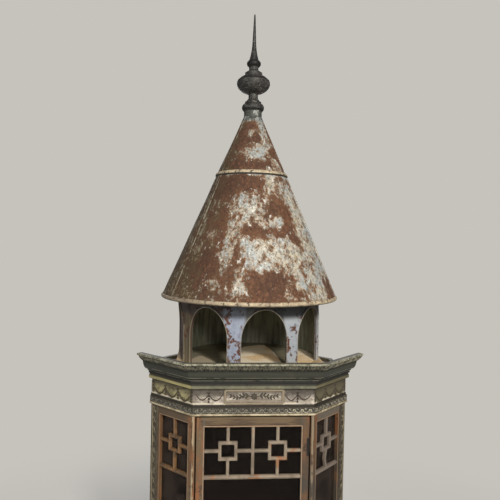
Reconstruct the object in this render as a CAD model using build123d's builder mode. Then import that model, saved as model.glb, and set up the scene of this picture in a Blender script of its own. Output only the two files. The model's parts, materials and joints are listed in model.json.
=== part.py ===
"""A conical cupola on an open arcade, standing on a glazed cabinet with canted corners.

Millimetres. The origin is on the floor, on the upright axis. The front faces -Y.
"""
import os
from math import acos, asin, cos, degrees, hypot, pi, radians, sin, tan

from build123d import *

# Plan of the cabinet: an octagon with canted corners
half_width = 320.0
half_depth = 252.0
cant = 135.0
wall = 20.0

# Heights of the cabinet's stages, from the floor up
plinth_height = 85.0
base_moulding_height = 40.0
body_height = 863.0
architrave_height = 32.0
frieze_height = 52.0
cornice_height = 88.0

# Plinth, boards and base moulding
plinth_projection = 15.0
base_moulding_projection = 12.0
base_moulding_toe = 12.0
base_moulding_neck = 2.0
base_moulding_neck_height = 5.0
base_moulding_ledge = 15.0
floor_board_thickness = 15.0
ceiling_board_thickness = 12.0
top_board_thickness = 20.0

# Cornice, frieze and architrave mouldings
cornice_projection = 64.0
cornice_lip_width = 20.0
cornice_lip_height = 6.0
cornice_leaf_height = 20.0
cornice_leaf_depth = 23.0
cornice_fascia_height = 18.0
cornice_fascia_projection = 10.0
cornice_fillet_height = 4.0
cornice_fillet_projection = 5.0
cornice_cove_foot = 13.0
cornice_seat = 6.0
cornice_cap_height = 10.0
tablet_width = 186.0
tablet_height = 48.0
tablet_border = 9.0
tablet_relief = 4.0
architrave_bead = 7.0
architrave_band_projection = 5.0
architrave_fillet_height = 7.0
architrave_fillet_projection = 2.0

# Corner posts: how far each reaches along the faces beside it
front_post_on_front = 7.0
front_post_on_cant = 7.0
outer_post = 35.0
back_post = 35.0
post_bead_radius = 3.5
post_bead_set_back = 5.0
corner_bead_radius = 3.0

# Door and fixed lights
door_gap = 5.0
door_stile = 24.5
door_top_rail = 30.0
door_bottom_rail = 48.0
light_front_stile = 14.0
light_outer_stile = 8.0
light_top_rail = 27.0
light_bottom_rail = 50.0
rebate_width = 6.0
glass_thickness = 3.0
glass_depth = 11.0
lattice_set_back = 3.0
lattice_band = 150.0
lattice_rail = 11.0
bar_width = 9.0
door_square = 58.0
light_square = 52.0
bowed_arm = 6.0

# Hinges and knob
hinge_length = 51.0
hinge_end_distance = 62.0
barrel_radius = 2.4
pin_radius = 1.1
pin_clearance = 0.1
knuckle_gap = 0.3
leaf_thickness = 1.0
leaf_width = 14.0
knob_radius = 9.0
knob_length = 20.0
knob_neck_radius = 4.0

# Panels of the unseen sides
panel_border = 40.0
panel_sink = 6.0
panel_fields = 2

# Arcade and the base that it stands on
arcade_base_height = 48.0
arcade_base_ledge = 1.5
arcade_base_gap = 1.0
arcade_set_back = 54.0
arcade_thickness = 10.0
arcade_height = 210.0
arcade_turn = 7.3
pier_count = 8
open_arches = (7, 0, 1)
blind_thickness = 2.0
leg_width = 46.0
arch_spring_height = 92.0
arch_rise = 97.0
arch_bead_width = 6.0
arch_bead_relief = 2.0

# Roof
soffit_thickness = 12.0
rim_radius = 297.0
roll_radius = 7.0
rim_lift = 1.0
sheet = 2.0
lower_cone_height = 409.0
upper_cone_height = 203.0
band_radius = 121.0
band_height = 16.0
band_relief = 4.5
collar_radius = 31.0
collar_height = 21.0

# Finial: radii, and heights of each stage from the foot up
base_bead_radius = 38.5
base_bead_height = 27.0
base_fillet_radius = 28.5
base_fillet_height = 5.0
bell_radius = 26.0
bell_height = 12.0
neck_radius = 16.5
base_neck_height = 4.0
ball_neck_height = 12.0
ball_radius = 57.8
ball_lower_height = 38.0
ball_edge_height = 10.5
ball_groove_depth = 1.5
ball_upper_height = 32.0
flare_radius = 30.0
flare_height = 9.5
flare_slope_height = 9.0
upper_neck_height = 11.5
ring_radius = 24.5
ring_height = 23.0
spike_radius = 16.7
spike_waist_radius = 6.5
spike_waist_height = 62.0
spike_height = 159.0
spike_tip_radius = 2.4

arcade_radius = rim_radius - arcade_set_back

# Levels that follow from the heights
base_top = plinth_height + base_moulding_height
body_top = base_top + body_height
frieze_bottom = body_top + architrave_height
cornice_bottom = frieze_bottom + frieze_height
cornice_top = cornice_bottom + cornice_height
board_bottom = cornice_bottom - top_board_thickness
base_board_top = cornice_bottom + arcade_base_height
arcade_top = base_board_top + arcade_height
rim_level = arcade_top + rim_lift
cone_bottom = rim_level + roll_radius
band_level = cone_bottom + lower_cone_height
cone_top = band_level + upper_cone_height
collar_top = cone_top + collar_height

# Faces of the plan, going round from the front towards the right
FRONT, FRONT_RIGHT, RIGHT, BACK_RIGHT, BACK, BACK_LEFT, LEFT, FRONT_LEFT = range(8)


def octagon(out=0.0):
    """Corners of the plan, moved outwards by out, starting at the left end of the front."""
    grow = out * tan(radians(22.5))
    x_far = half_width + out
    y_far = half_depth + out
    x_near = half_width - cant + grow
    y_near = half_depth - cant + grow
    return [
        (-x_near, -y_far), (x_near, -y_far), (x_far, -y_near), (x_far, y_near),
        (x_near, y_far), (-x_near, y_far), (-x_far, y_near), (-x_far, -y_near),
    ]


plan = octagon()
inner_plan = octagon(-wall)


def along(face):
    """Direction of a face, towards its right end as seen from outside."""
    start = Vector(*plan[face % 8])
    end = Vector(*plan[(face + 1) % 8])
    return (end - start).normalized()


def outward(face):
    direction = along(face)
    return Vector(direction.Y, -direction.X)


def face_length(face):
    start = Vector(*plan[face])
    end = Vector(*plan[(face + 1) % 8])
    return (end - start).length


def face_plane(face, depth=0.0):
    """Plane on a face: x to the right, y up from the floor, z outwards, sunk by depth."""
    middle = (Vector(*plan[face]) + Vector(*plan[(face + 1) % 8])) / 2
    return Plane(origin=middle - outward(face) * depth, x_dir=along(face), z_dir=outward(face))


def section_plane(face):
    """Upright plane across a face at mid length: x outwards, y up."""
    middle = (Vector(*plan[face]) + Vector(*plan[(face + 1) % 8])) / 2
    return Plane(origin=middle, x_dir=outward(face), z_dir=-along(face))


def mitre_plane(corner):
    """Upright plane that halves the corner between the face before it and the face after it."""
    across = (along(corner - 1) + along(corner)).normalized()
    return Plane(origin=Vector(*plan[corner % 8]), z_dir=across)


def square_plane(face, corner):
    """Upright plane across a face through a corner of the plan."""
    return Plane(origin=Vector(*plan[corner % 8]), z_dir=along(face))


def save(solid, name):
    solid.label = name
    export_step(solid, f"parts/{name}.step")


os.makedirs("parts", exist_ok=True)


# Finial: three turned castings, one on the other
bead_top = collar_top + base_bead_height
base_fillet_top = bead_top + base_fillet_height
bell_top = base_fillet_top + bell_height
finial_base_top = bell_top + base_neck_height
with BuildPart() as finial_base:
    with BuildSketch(Plane.XZ):
        with BuildLine():
            bead = ThreePointArc(
                (collar_radius + sheet, collar_top),
                (base_bead_radius, collar_top + base_bead_height * 0.4),
                (base_fillet_radius, bead_top),
            )
            fillet_edge = Polyline(
                bead @ 1, (base_fillet_radius, base_fillet_top), (bell_radius, base_fillet_top),
            )
            bell = TangentArc(fillet_edge @ 1, (neck_radius, bell_top), tangent=(-0.7, 1))
            Polyline(
                bell @ 1, (neck_radius, finial_base_top), (0, finial_base_top),
                (0, collar_top), bead @ 0,
            )
        make_face()
    revolve(axis=Axis.Z)
save(finial_base.part, "finial_base")

ball_bottom = finial_base_top + ball_neck_height
bowl_start = -acos(neck_radius / ball_radius)
ball_middle = ball_bottom - ball_lower_height * sin(bowl_start)
dome_radius = ball_radius - ball_groove_depth
dome_start = asin(ball_edge_height / ball_upper_height)
dome_end = acos(flare_radius / dome_radius)
ball_top = ball_middle + ball_upper_height * sin(dome_end)
flare_top = ball_top + flare_height
finial_ball_top = flare_top + flare_slope_height + upper_neck_height
with BuildPart() as finial_ball:
    with BuildSketch(Plane.XZ):
        with BuildLine():
            bowl = EllipticalCenterArc(
                (0, ball_middle), ball_radius, ball_lower_height,
                start_angle=degrees(bowl_start), arc_size=-degrees(bowl_start),
            )
            edge = EllipticalCenterArc(
                (0, ball_middle), ball_radius, ball_upper_height,
                start_angle=0, arc_size=degrees(dome_start),
            )
            dome = EllipticalCenterArc(
                (0, ball_middle), dome_radius, ball_upper_height,
                start_angle=degrees(dome_start), arc_size=degrees(dome_end - dome_start),
            )
            Line(edge @ 1, dome @ 0)
            Polyline(
                dome @ 1,
                (flare_radius, flare_top),
                (neck_radius, flare_top + flare_slope_height),
                (neck_radius, finial_ball_top),
                (0, finial_ball_top),
                (0, finial_base_top),
                (neck_radius, finial_base_top),
                bowl @ 0,
            )
        make_face()
    revolve(axis=Axis.Z)
save(finial_ball.part, "finial_ball")

ring_top = finial_ball_top + ring_height
tip_level = ring_top + spike_height
with BuildPart() as finial_spike:
    with BuildSketch(Plane.XZ):
        with BuildLine():
            ring = ThreePointArc(
                (neck_radius, finial_ball_top),
                (ring_radius, finial_ball_top + ring_height / 2),
                (spike_radius, ring_top),
            )
            taper = ThreePointArc(
                ring @ 1,
                ((spike_radius + spike_waist_radius) / 2 - 1.5, ring_top + spike_waist_height * 0.45),
                (spike_waist_radius, ring_top + spike_waist_height),
            )
            Polyline(
                taper @ 1, (spike_tip_radius, tip_level), (0, tip_level), (0, finial_ball_top), ring @ 0,
            )
        make_face()
    revolve(axis=Axis.Z)
save(finial_spike.part, "finial_spike")


# Roof: two tiers of rolled sheet, each a thin conical shell
def cone_shell(bottom_radius, bottom, top_radius, top):
    """Outline of a tapered sheet, drawn on the section plane."""
    lean = hypot(bottom_radius - top_radius, top - bottom) / (top - bottom)
    Polygon(
        (bottom_radius, bottom), (top_radius, top),
        (top_radius - sheet * lean, top), (bottom_radius - sheet * lean, bottom),
        align=None,
    )


with BuildPart() as cone_collar:
    with BuildSketch(Plane.XY.offset(cone_top)):
        Circle(collar_radius)
        Circle(collar_radius - sheet, mode=Mode.SUBTRACT)
    extrude(amount=collar_height)
save(cone_collar.part, "cone_collar")

with BuildPart() as upper_cone:
    with BuildSketch(Plane.XZ):
        cone_shell(band_radius, band_level, collar_radius, cone_top)
    revolve(axis=Axis.Z)
save(upper_cone.part, "upper_cone")

cone_foot_radius = rim_radius + sheet / 2
with BuildPart() as lower_cone:
    with BuildSketch(Plane.XZ):
        cone_shell(cone_foot_radius, cone_bottom, band_radius, band_level)
    revolve(axis=Axis.Z)
save(lower_cone.part, "lower_cone")

upper_slope = (band_radius - collar_radius) / upper_cone_height
lower_slope = (cone_foot_radius - band_radius) / lower_cone_height
with BuildPart() as cone_band:
    with BuildSketch(Plane.XZ):
        with BuildLine():
            foot = (band_radius + lower_slope * band_height / 2, band_level - band_height / 2)
            head = (band_radius - upper_slope * band_height / 2, band_level + band_height / 2)
            bulge = ThreePointArc(foot, (band_radius + band_relief, band_level), head)
            Polyline(head, (band_radius, band_level), foot)
        make_face()
    revolve(axis=Axis.Z)
save(cone_band.part, "cone_band")

with BuildPart() as rim_roll:
    with BuildSketch(Plane.XZ):
        with Locations((rim_radius, rim_level)):
            Circle(roll_radius)
    revolve(axis=Axis.Z)
save(rim_roll.part, "rim_roll")

with BuildPart() as soffit_board:
    with BuildSketch(Plane.XY.offset(arcade_top)):
        Circle(rim_radius - roll_radius)
    extrude(amount=soffit_thickness)
save(soffit_board.part, "soffit_board")

# Arcade: piers cut from one drum, meeting at the crowns of the arches. Arch 0 faces the front,
# and a thin sheet closes the arches that aren't open.
pier_step = 360 / pier_count
half_arch = (2 * pi * arcade_radius / pier_count - leg_width) / 2
reach = arcade_radius * 1.5


def arch_outline(margin=0.0):
    """An arch seen from the front, with a margin round it."""
    Rectangle(2 * (half_arch + margin), arch_spring_height, align=(Align.CENTER, Align.MIN))
    with Locations((0, arch_spring_height)):
        Ellipse(half_arch + margin, arch_rise + margin)


def drum_sector(inner_radius, outer_radius):
    """Plan of one pier: its share of a ring."""
    side = reach * tan(radians(pier_step / 2))
    Circle(outer_radius)
    Circle(inner_radius, mode=Mode.SUBTRACT)
    Polygon((0, 0), (reach, -side), (reach, side), align=None, mode=Mode.INTERSECT)


for number in range(pier_count):
    facing = -90 + arcade_turn + pier_step * (number + 0.5)
    pier_plane = Plane(
        origin=(0, 0, base_board_top),
        x_dir=(cos(radians(facing)), sin(radians(facing)), 0),
        z_dir=(0, 0, 1),
    )
    arch_planes = []
    arch_voids = []
    for side in (0, 1):
        arch_facing = radians(facing + pier_step * (side - 0.5))
        arch_plane = Plane(
            origin=(0, 0, base_board_top),
            x_dir=(-sin(arch_facing), cos(arch_facing), 0),
            z_dir=(cos(arch_facing), sin(arch_facing), 0),
        )
        with BuildPart() as arch_void:
            with BuildSketch(arch_plane):
                arch_outline()
            extrude(amount=reach)
            if (number + side) % pier_count not in open_arches:
                with BuildSketch(Plane.XY.offset(base_board_top)):
                    Circle(arcade_radius - arcade_thickness + blind_thickness)
                extrude(amount=arcade_height, mode=Mode.SUBTRACT)
        arch_planes.append(arch_plane)
        arch_voids.append(arch_void.part)
    with BuildPart() as sunk_face:
        with BuildSketch(pier_plane):
            drum_sector(arcade_radius, arcade_radius + arch_bead_relief)
        extrude(amount=arcade_height)
        for arch_plane in arch_planes:
            with BuildSketch(arch_plane):
                arch_outline(arch_bead_width)
            extrude(amount=reach, mode=Mode.SUBTRACT)
    with BuildPart() as arcade_pier:
        with BuildSketch(pier_plane):
            drum_sector(arcade_radius - arcade_thickness, arcade_radius + arch_bead_relief)
        extrude(amount=arcade_height)
        add(sunk_face.part, mode=Mode.SUBTRACT)
        add(arch_voids, mode=Mode.SUBTRACT)
    save(arcade_pier.part, f"arcade_pier_{number + 1}")

# Boards across the plan. The top board lies within the frieze and carries the arcade's base.
arcade_base_width = 2 * (arcade_radius + arcade_base_ledge)
with BuildPart() as top_board:
    with BuildSketch(Plane.XY.offset(board_bottom)):
        Polygon(*inner_plan, align=None)
    extrude(amount=top_board_thickness)
    with BuildSketch(Plane.XY.offset(cornice_bottom)):
        Polygon(*octagon(-cornice_seat - arcade_base_gap), align=None)
        Rectangle(arcade_base_width, arcade_base_width, mode=Mode.INTERSECT)
    extrude(amount=arcade_base_height)
save(top_board.part, "top_board")

with BuildPart() as ceiling_board:
    with BuildSketch(Plane.XY.offset(body_top)):
        Polygon(*inner_plan, align=None)
    extrude(amount=ceiling_board_thickness)
save(ceiling_board.part, "ceiling_board")

floor_bottom = base_top - floor_board_thickness
with BuildPart() as floor_board:
    with BuildSketch(Plane.XY.offset(floor_bottom)):
        Polygon(*inner_plan, align=None)
    extrude(amount=floor_board_thickness)
save(floor_board.part, "floor_board")


# Cornice: a moulding on the front and its cants, mitred at the corners, and a plain cap on the
# rest. The moulding's far ends are cut square to the cants.
leaf_bottom = cornice_top - cornice_leaf_height
cove_top = (cornice_projection - cornice_leaf_depth, leaf_bottom)
fascia_top = cornice_bottom + cornice_fascia_height
first_fillet = cornice_fascia_projection + cornice_fillet_projection
second_fillet = first_fillet + cornice_fillet_projection
cove_foot = (second_fillet, fascia_top + cornice_cove_foot)


def moulding_section():
    """Section of the cornice: its back rises from the frieze and leans out to a narrow lip."""
    with BuildLine() as section_line:
        lip = Line(
            (cornice_projection, cornice_top),
            (cornice_projection, cornice_top - cornice_lip_height),
        )
        leaf = RadiusArc(lip @ 1, cove_top, -cornice_leaf_height)
        cove = Spline(leaf @ 1, cove_foot, tangents=[(-0.1, -1), (-1, -0.2)])
        Polyline(
            cove @ 1,
            (second_fillet, cove_foot[1] - cornice_fillet_height),
            (first_fillet, cove_foot[1] - cornice_fillet_height),
            (first_fillet, fascia_top),
            (cornice_fascia_projection, fascia_top),
            (cornice_fascia_projection, cornice_bottom),
            (-cornice_seat, cornice_bottom),
            (-cornice_seat, cove_foot[1]),
            (cornice_projection - cornice_lip_width, cornice_top),
            lip @ 0,
        )
    make_face(section_line.edges())


def cap_section():
    """Section of the plain cap, on the same seat as the moulding and as far out as its fascia."""
    with Locations((-cornice_seat, cornice_bottom)):
        Rectangle(
            cornice_seat + cornice_fascia_projection, cornice_cap_height,
            align=(Align.MIN, Align.MIN),
        )


cornice_groups = {
    "cornice_front": ([FRONT], moulding_section),
    "cornice_back": ([BACK], cap_section),
    "cornice_sides": ([RIGHT, LEFT], cap_section),
    "cornice_front_cants": ([FRONT_RIGHT, FRONT_LEFT], moulding_section),
    "cornice_back_cants": ([BACK_RIGHT, BACK_LEFT], cap_section),
}
for name, (faces, section) in cornice_groups.items():
    lengths = []
    for face in faces:
        with BuildPart() as cornice_length:
            with BuildSketch(section_plane(face)) as outline:
                section()
            extrude(outline.sketch, amount=face_length(face), both=True)
            split(bisect_by=mitre_plane(face), keep=Keep.TOP)
            split(bisect_by=mitre_plane(face + 1), keep=Keep.BOTTOM)
            if face == FRONT_RIGHT:
                split(bisect_by=square_plane(face, face + 1), keep=Keep.BOTTOM)
            if face == FRONT_LEFT:
                split(bisect_by=square_plane(face, face), keep=Keep.TOP)
        lengths.append(cornice_length.part)
    with BuildPart() as cornice:
        add(lengths)
    save(cornice.part, name)


# Rings that run all round: a section swept along the plan
def ring_path():
    corners = plan[1:] + plan[:1]
    Polyline((0, -half_depth), *corners, (0, -half_depth))


with BuildPart() as frieze:
    with BuildSketch(Plane.XY.offset(frieze_bottom)):
        Polygon(*plan, align=None)
        Polygon(*inner_plan, align=None, mode=Mode.SUBTRACT)
    extrude(amount=frieze_height)
save(frieze.part, "frieze")

with BuildPart() as frieze_tablet:
    with BuildSketch(face_plane(FRONT)):
        with Locations((0, frieze_bottom + frieze_height / 2)):
            Rectangle(tablet_width, tablet_height)
    extrude(amount=tablet_relief)
    with BuildSketch(face_plane(FRONT, -tablet_relief / 2)):
        with Locations((0, frieze_bottom + frieze_height / 2)):
            Rectangle(tablet_width - 2 * tablet_border, tablet_height - 2 * tablet_border)
    extrude(amount=tablet_relief, mode=Mode.SUBTRACT)
save(frieze_tablet.part, "frieze_tablet")

with BuildPart() as architrave:
    with BuildLine():
        ring_path()
    with BuildSketch(section_plane(FRONT)):
        with BuildLine():
            bead = ThreePointArc(
                (architrave_bead / 2, body_top),
                (architrave_bead, body_top + architrave_bead / 2),
                (architrave_bead / 2, body_top + architrave_bead),
            )
            Polyline(
                bead @ 1,
                (architrave_band_projection, body_top + architrave_bead),
                (architrave_band_projection, frieze_bottom - architrave_fillet_height),
                (architrave_fillet_projection, frieze_bottom - architrave_fillet_height),
                (architrave_fillet_projection, frieze_bottom),
                (-wall, frieze_bottom),
                (-wall, body_top),
                bead @ 0,
            )
        make_face()
    sweep(transition=Transition.RIGHT)
save(architrave.part, "architrave")

with BuildPart() as base_moulding:
    with BuildLine():
        ring_path()
    with BuildSketch(section_plane(FRONT)):
        with BuildLine():
            toe = Line(
                (base_moulding_projection, plinth_height),
                (base_moulding_projection, plinth_height + base_moulding_toe),
            )
            neck_foot = (base_moulding_neck, base_top - base_moulding_neck_height)
            ogee = Spline(toe @ 1, neck_foot, tangents=[(-1, 0.3), (-0.2, 1)])
            Polyline(
                ogee @ 1,
                (base_moulding_neck, base_top),
                (-wall, base_top),
                (-wall, floor_bottom),
                (-wall - base_moulding_ledge, floor_bottom),
                (-wall - base_moulding_ledge, plinth_height),
                toe @ 0,
            )
        make_face()
    sweep(transition=Transition.RIGHT)
save(base_moulding.part, "base_moulding")

with BuildPart() as plinth:
    with BuildSketch():
        Polygon(*octagon(plinth_projection), align=None)
        Polygon(*inner_plan, align=None, mode=Mode.SUBTRACT)
    extrude(amount=plinth_height)
save(plinth.part, "plinth")


# Corner posts
def post_outline(corner, before, after):
    """Section of a post that reaches back along one face and on along the next.

    The two sides of a narrow post meet before they reach the inner face.
    """
    tip = Vector(*plan[corner])
    face_before = outward(corner - 1)
    face_after = outward(corner)
    start = tip - along(corner - 1) * before
    end = tip + along(corner) * after
    if max(before, after) < wall * tan(radians(22.5)):
        depth = (start - end).cross(face_after).Z / face_before.cross(face_after).Z
        points = [start, tip, end, start - face_before * depth]
    else:
        points = [start, tip, end, end - face_after * wall, start - face_before * wall]
    Polygon(*[(point.X, point.Y) for point in points], align=None)


def post_beads(corner, before, after):
    """Half-round beads near the two edges of a post."""
    tip = Vector(*plan[corner])
    near_start = tip - along(corner - 1) * (before - post_bead_set_back)
    near_end = tip + along(corner) * (after - post_bead_set_back)
    with Locations((near_start.X, near_start.Y), (near_end.X, near_end.Y)):
        Circle(post_bead_radius)


def corner_bead(corner):
    """Bead on the corner itself, half of it standing proud."""
    tip = Vector(*plan[corner])
    inwards = (outward(corner - 1) + outward(corner)).normalized() * -corner_bead_radius / 2
    with Locations((tip.X + inwards.X, tip.Y + inwards.Y)):
        Circle(corner_bead_radius)


with BuildPart() as front_posts:
    with BuildSketch(Plane.XY.offset(base_top)):
        post_outline(FRONT, front_post_on_cant, front_post_on_front)
        post_outline(FRONT_RIGHT, front_post_on_front, front_post_on_cant)
        corner_bead(FRONT)
        corner_bead(FRONT_RIGHT)
    extrude(amount=body_height)
save(front_posts.part, "front_posts")

with BuildPart() as outer_posts:
    with BuildSketch(Plane.XY.offset(base_top)):
        for corner in (RIGHT, FRONT_LEFT):
            post_outline(corner, outer_post, outer_post)
            post_beads(corner, outer_post, outer_post)
    extrude(amount=body_height)
save(outer_posts.part, "outer_posts")

with BuildPart() as back_posts:
    with BuildSketch(Plane.XY.offset(base_top)):
        for corner in (BACK_RIGHT, BACK, BACK_LEFT, LEFT):
            post_outline(corner, back_post, back_post)
    extrude(amount=body_height)
save(back_posts.part, "back_posts")


# Panels of the unseen sides, with sunk fields
def panel(face, start_post, end_post):
    """Framed board that fills a face between its two posts."""
    length = face_length(face)
    left = -length / 2 + start_post
    right = length / 2 - end_post
    field_width = right - left - 2 * panel_border
    field_height = (body_height - (panel_fields + 1) * panel_border) / panel_fields
    middle = (left + right) / 2
    with BuildSketch(face_plane(face, wall)) as outline:
        with Locations((middle, base_top)):
            Rectangle(right - left, body_height, align=(Align.CENTER, Align.MIN))
    extrude(outline.sketch, amount=wall)
    with BuildSketch(face_plane(face, panel_sink)) as outline:
        with Locations((middle, base_top + body_height / 2)):
            with GridLocations(0, field_height + panel_border, 1, panel_fields):
                Rectangle(field_width, field_height)
    extrude(outline.sketch, amount=wall, mode=Mode.SUBTRACT)


with BuildPart() as side_panels:
    panel(RIGHT, outer_post, back_post)
    panel(LEFT, back_post, outer_post)
save(side_panels.part, "side_panels")

with BuildPart() as back_cant_panels:
    panel(BACK_RIGHT, back_post, back_post)
    panel(BACK_LEFT, back_post, back_post)
save(back_cant_panels.part, "back_cant_panels")

with BuildPart() as back_panel:
    panel(BACK, back_post, back_post)
save(back_panel.part, "back_panel")


# Glazed frames, shared by the door and the fixed lights
def glazed_frame(face, left, right, bottom, top, sight):
    """Frame with its opening cut through and a rebate for the pane behind."""
    sight_left, sight_right, sight_bottom, sight_top = sight
    with BuildSketch(face_plane(face)) as outline:
        with Locations((left, bottom)):
            Rectangle(right - left, top - bottom, align=Align.MIN)
        with Locations((sight_left, sight_bottom)):
            Rectangle(
                sight_right - sight_left, sight_top - sight_bottom,
                align=Align.MIN, mode=Mode.SUBTRACT,
            )
    extrude(outline.sketch, amount=-wall)
    with BuildSketch(face_plane(face, glass_depth)) as outline:
        pane_outline(sight)
    extrude(outline.sketch, amount=-wall, mode=Mode.SUBTRACT)


def pane_outline(sight):
    sight_left, sight_right, sight_bottom, sight_top = sight
    with Locations((sight_left - rebate_width, sight_bottom - rebate_width)):
        Rectangle(
            sight_right - sight_left + 2 * rebate_width,
            sight_top - sight_bottom + 2 * rebate_width,
            align=Align.MIN,
        )


def pane(face, sight):
    with BuildSketch(face_plane(face, glass_depth)) as outline:
        pane_outline(sight)
    extrude(outline.sketch, amount=-glass_thickness)


def lattice(face, left, right, low, high, rail_low, cells, square, bow=0.0):
    """Band of squares held by crossing bars, closed by a rail, in front of the glass.

    A bow bends the lower arm of each square sideways.
    """
    middle = (low + high) / 2
    pitch = (right - left + bar_width) / cells
    arm_up = (high - low - square) / 2
    with BuildSketch(face_plane(face, lattice_set_back)) as outline:
        with Locations((left, rail_low)):
            Rectangle(right - left, lattice_rail, align=Align.MIN)
        for cell in range(cells):
            centre = left + (cell + 0.5) * pitch - bar_width / 2
            arm_side = (pitch - bar_width - square) / 2
            with Locations((centre, middle)):
                Rectangle(square, square)
                Rectangle(square - 2 * bar_width, square - 2 * bar_width, mode=Mode.SUBTRACT)
            with Locations((centre, high - arm_up)):
                Rectangle(bar_width, arm_up, align=(Align.CENTER, Align.MIN))
            with BuildLine() as lower_arm:
                Polyline((centre, low), (centre - bow, low + arm_up / 2), (centre, low + arm_up))
            trace(lower_arm.line, line_width=bar_width)
            with Locations((centre - square / 2 - arm_side, middle), (centre + square / 2, middle)):
                Rectangle(arm_side, bar_width, align=(Align.MIN, Align.CENTER))
            if cell:
                with Locations((left + cell * pitch - bar_width, low)):
                    Rectangle(bar_width, high - low, align=Align.MIN)
    extrude(outline.sketch, amount=-(glass_depth - lattice_set_back))


def lattice_pair(face, sight, rail_top, cells, square, bow=0.0):
    """Upper band, with its rail below, and the same band turned over at the foot."""
    sight_left, sight_right, sight_bottom, sight_top = sight
    rail_low = rail_top - lattice_rail
    lattice(face, sight_left, sight_right, rail_top, sight_top, rail_low, cells, square, bow)
    foot_top = sight_bottom + sight_top - rail_top
    lattice(face, sight_left, sight_right, sight_bottom, foot_top, foot_top, cells, square)


# The door, hung on its right edge
post_edge = half_width - cant - front_post_on_front
door_edge = post_edge - door_gap
door_bottom = base_top + door_gap
door_top = body_top - door_gap
door_sight = (
    -door_edge + door_stile, door_edge - door_stile,
    door_bottom + door_bottom_rail, door_top - door_top_rail,
)
band_foot = door_sight[3] - lattice_band
with BuildPart() as door_frame:
    glazed_frame(FRONT, -door_edge, door_edge, door_bottom, door_top, door_sight)
save(door_frame.part, "door_frame")

with BuildPart() as door_lattices:
    lattice_pair(FRONT, door_sight, band_foot, 2, door_square)
save(door_lattices.part, "door_lattices")

with BuildPart() as door_glass:
    pane(FRONT, door_sight)
save(door_glass.part, "door_glass")

# Fixed lights in the two canted corners
light_length = face_length(FRONT_RIGHT)
light_left = -light_length / 2 + front_post_on_cant
light_right = light_length / 2 - outer_post
light_sight = (
    light_left + light_front_stile, light_right - light_outer_stile,
    base_top + light_bottom_rail, body_top - light_top_rail,
)


def mirrored(sight):
    return (-sight[1], -sight[0], sight[2], sight[3])


with BuildPart() as right_cant_frame:
    glazed_frame(FRONT_RIGHT, light_left, light_right, base_top, body_top, light_sight)
save(right_cant_frame.part, "right_cant_frame")

with BuildPart() as left_cant_frame:
    glazed_frame(FRONT_LEFT, -light_right, -light_left, base_top, body_top, mirrored(light_sight))
save(left_cant_frame.part, "left_cant_frame")

with BuildPart() as cant_lattices:
    lattice_pair(FRONT_RIGHT, light_sight, band_foot, 1, light_square, bowed_arm)
    lattice_pair(FRONT_LEFT, mirrored(light_sight), band_foot, 1, light_square)
save(cant_lattices.part, "cant_lattices")

with BuildPart() as cant_glass:
    pane(FRONT_RIGHT, light_sight)
    pane(FRONT_LEFT, mirrored(light_sight))
save(cant_glass.part, "cant_glass")

# Butt hinges: the barrel lies in the gap, on the line of the front face
hinge_x = (post_edge + door_edge) / 2
hinge_y = -half_depth
hinge_levels = [door_bottom + hinge_end_distance, door_top - hinge_end_distance - hinge_length]
knuckle = (hinge_length - 2 * knuckle_gap) / 3
leaf_start = hinge_y + barrel_radius + 0.2


def hinge_leaf(level, x_edge):
    """Thin plate behind the barrel, against the edge it is screwed to."""
    with BuildSketch(Plane.XY.offset(level)) as outline:
        with Locations((x_edge, leaf_start)):
            Rectangle(leaf_thickness, leaf_width, align=Align.MIN)
    extrude(outline.sketch, amount=hinge_length)


def hinge_knuckle(level, x_edge, bore):
    """One knuckle with the strap that joins it to its leaf."""
    with BuildSketch(Plane.XY.offset(level)) as outline:
        with Locations((hinge_x, hinge_y)):
            Circle(barrel_radius)
        with Locations((x_edge, hinge_y)):
            Rectangle(leaf_thickness, leaf_start - hinge_y + leaf_thickness, align=Align.MIN)
        if bore:
            with Locations((hinge_x, hinge_y)):
                Circle(pin_radius + pin_clearance, mode=Mode.SUBTRACT)
    extrude(outline.sketch, amount=knuckle)


with BuildPart() as door_hinges:
    for level in hinge_levels:
        hinge_leaf(level, door_edge)
        hinge_knuckle(level + knuckle + knuckle_gap, door_edge, True)
save(door_hinges.part, "door_hinges")

with BuildPart() as case_hinges:
    for level in hinge_levels:
        hinge_leaf(level, post_edge - leaf_thickness)
        for start in (level, level + 2 * (knuckle + knuckle_gap)):
            hinge_knuckle(start, post_edge - leaf_thickness, False)
        with BuildSketch(Plane.XY.offset(level)):
            with Locations((hinge_x, hinge_y)):
                Circle(pin_radius)
        extrude(amount=hinge_length)
save(case_hinges.part, "case_hinges")

with BuildPart() as door_knob:
    knob_plane = Plane(
        origin=(-door_edge + door_stile / 2, -half_depth, (door_bottom + door_top) / 2),
        x_dir=(1, 0, 0), z_dir=(0, -1, 0),
    )
    with BuildSketch(knob_plane):
        Circle(knob_neck_radius)
    extrude(amount=knob_length - knob_radius)
    with Locations(knob_plane.offset(knob_length - knob_radius * 0.7)):
        Sphere(knob_radius)
save(door_knob.part, "door_knob")
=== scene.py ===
"""Looks of the cupola and its glazed cabinet: weathered paint, rust, carving, glass and light.

Metres, in the frame of the model: the origin is on the floor, the front faces -Y.
"""

import json
import random
from math import cos, degrees, exp, pi, radians, sin, sqrt, tan

import bpy
from mathutils import Matrix, Vector, noise


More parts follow.
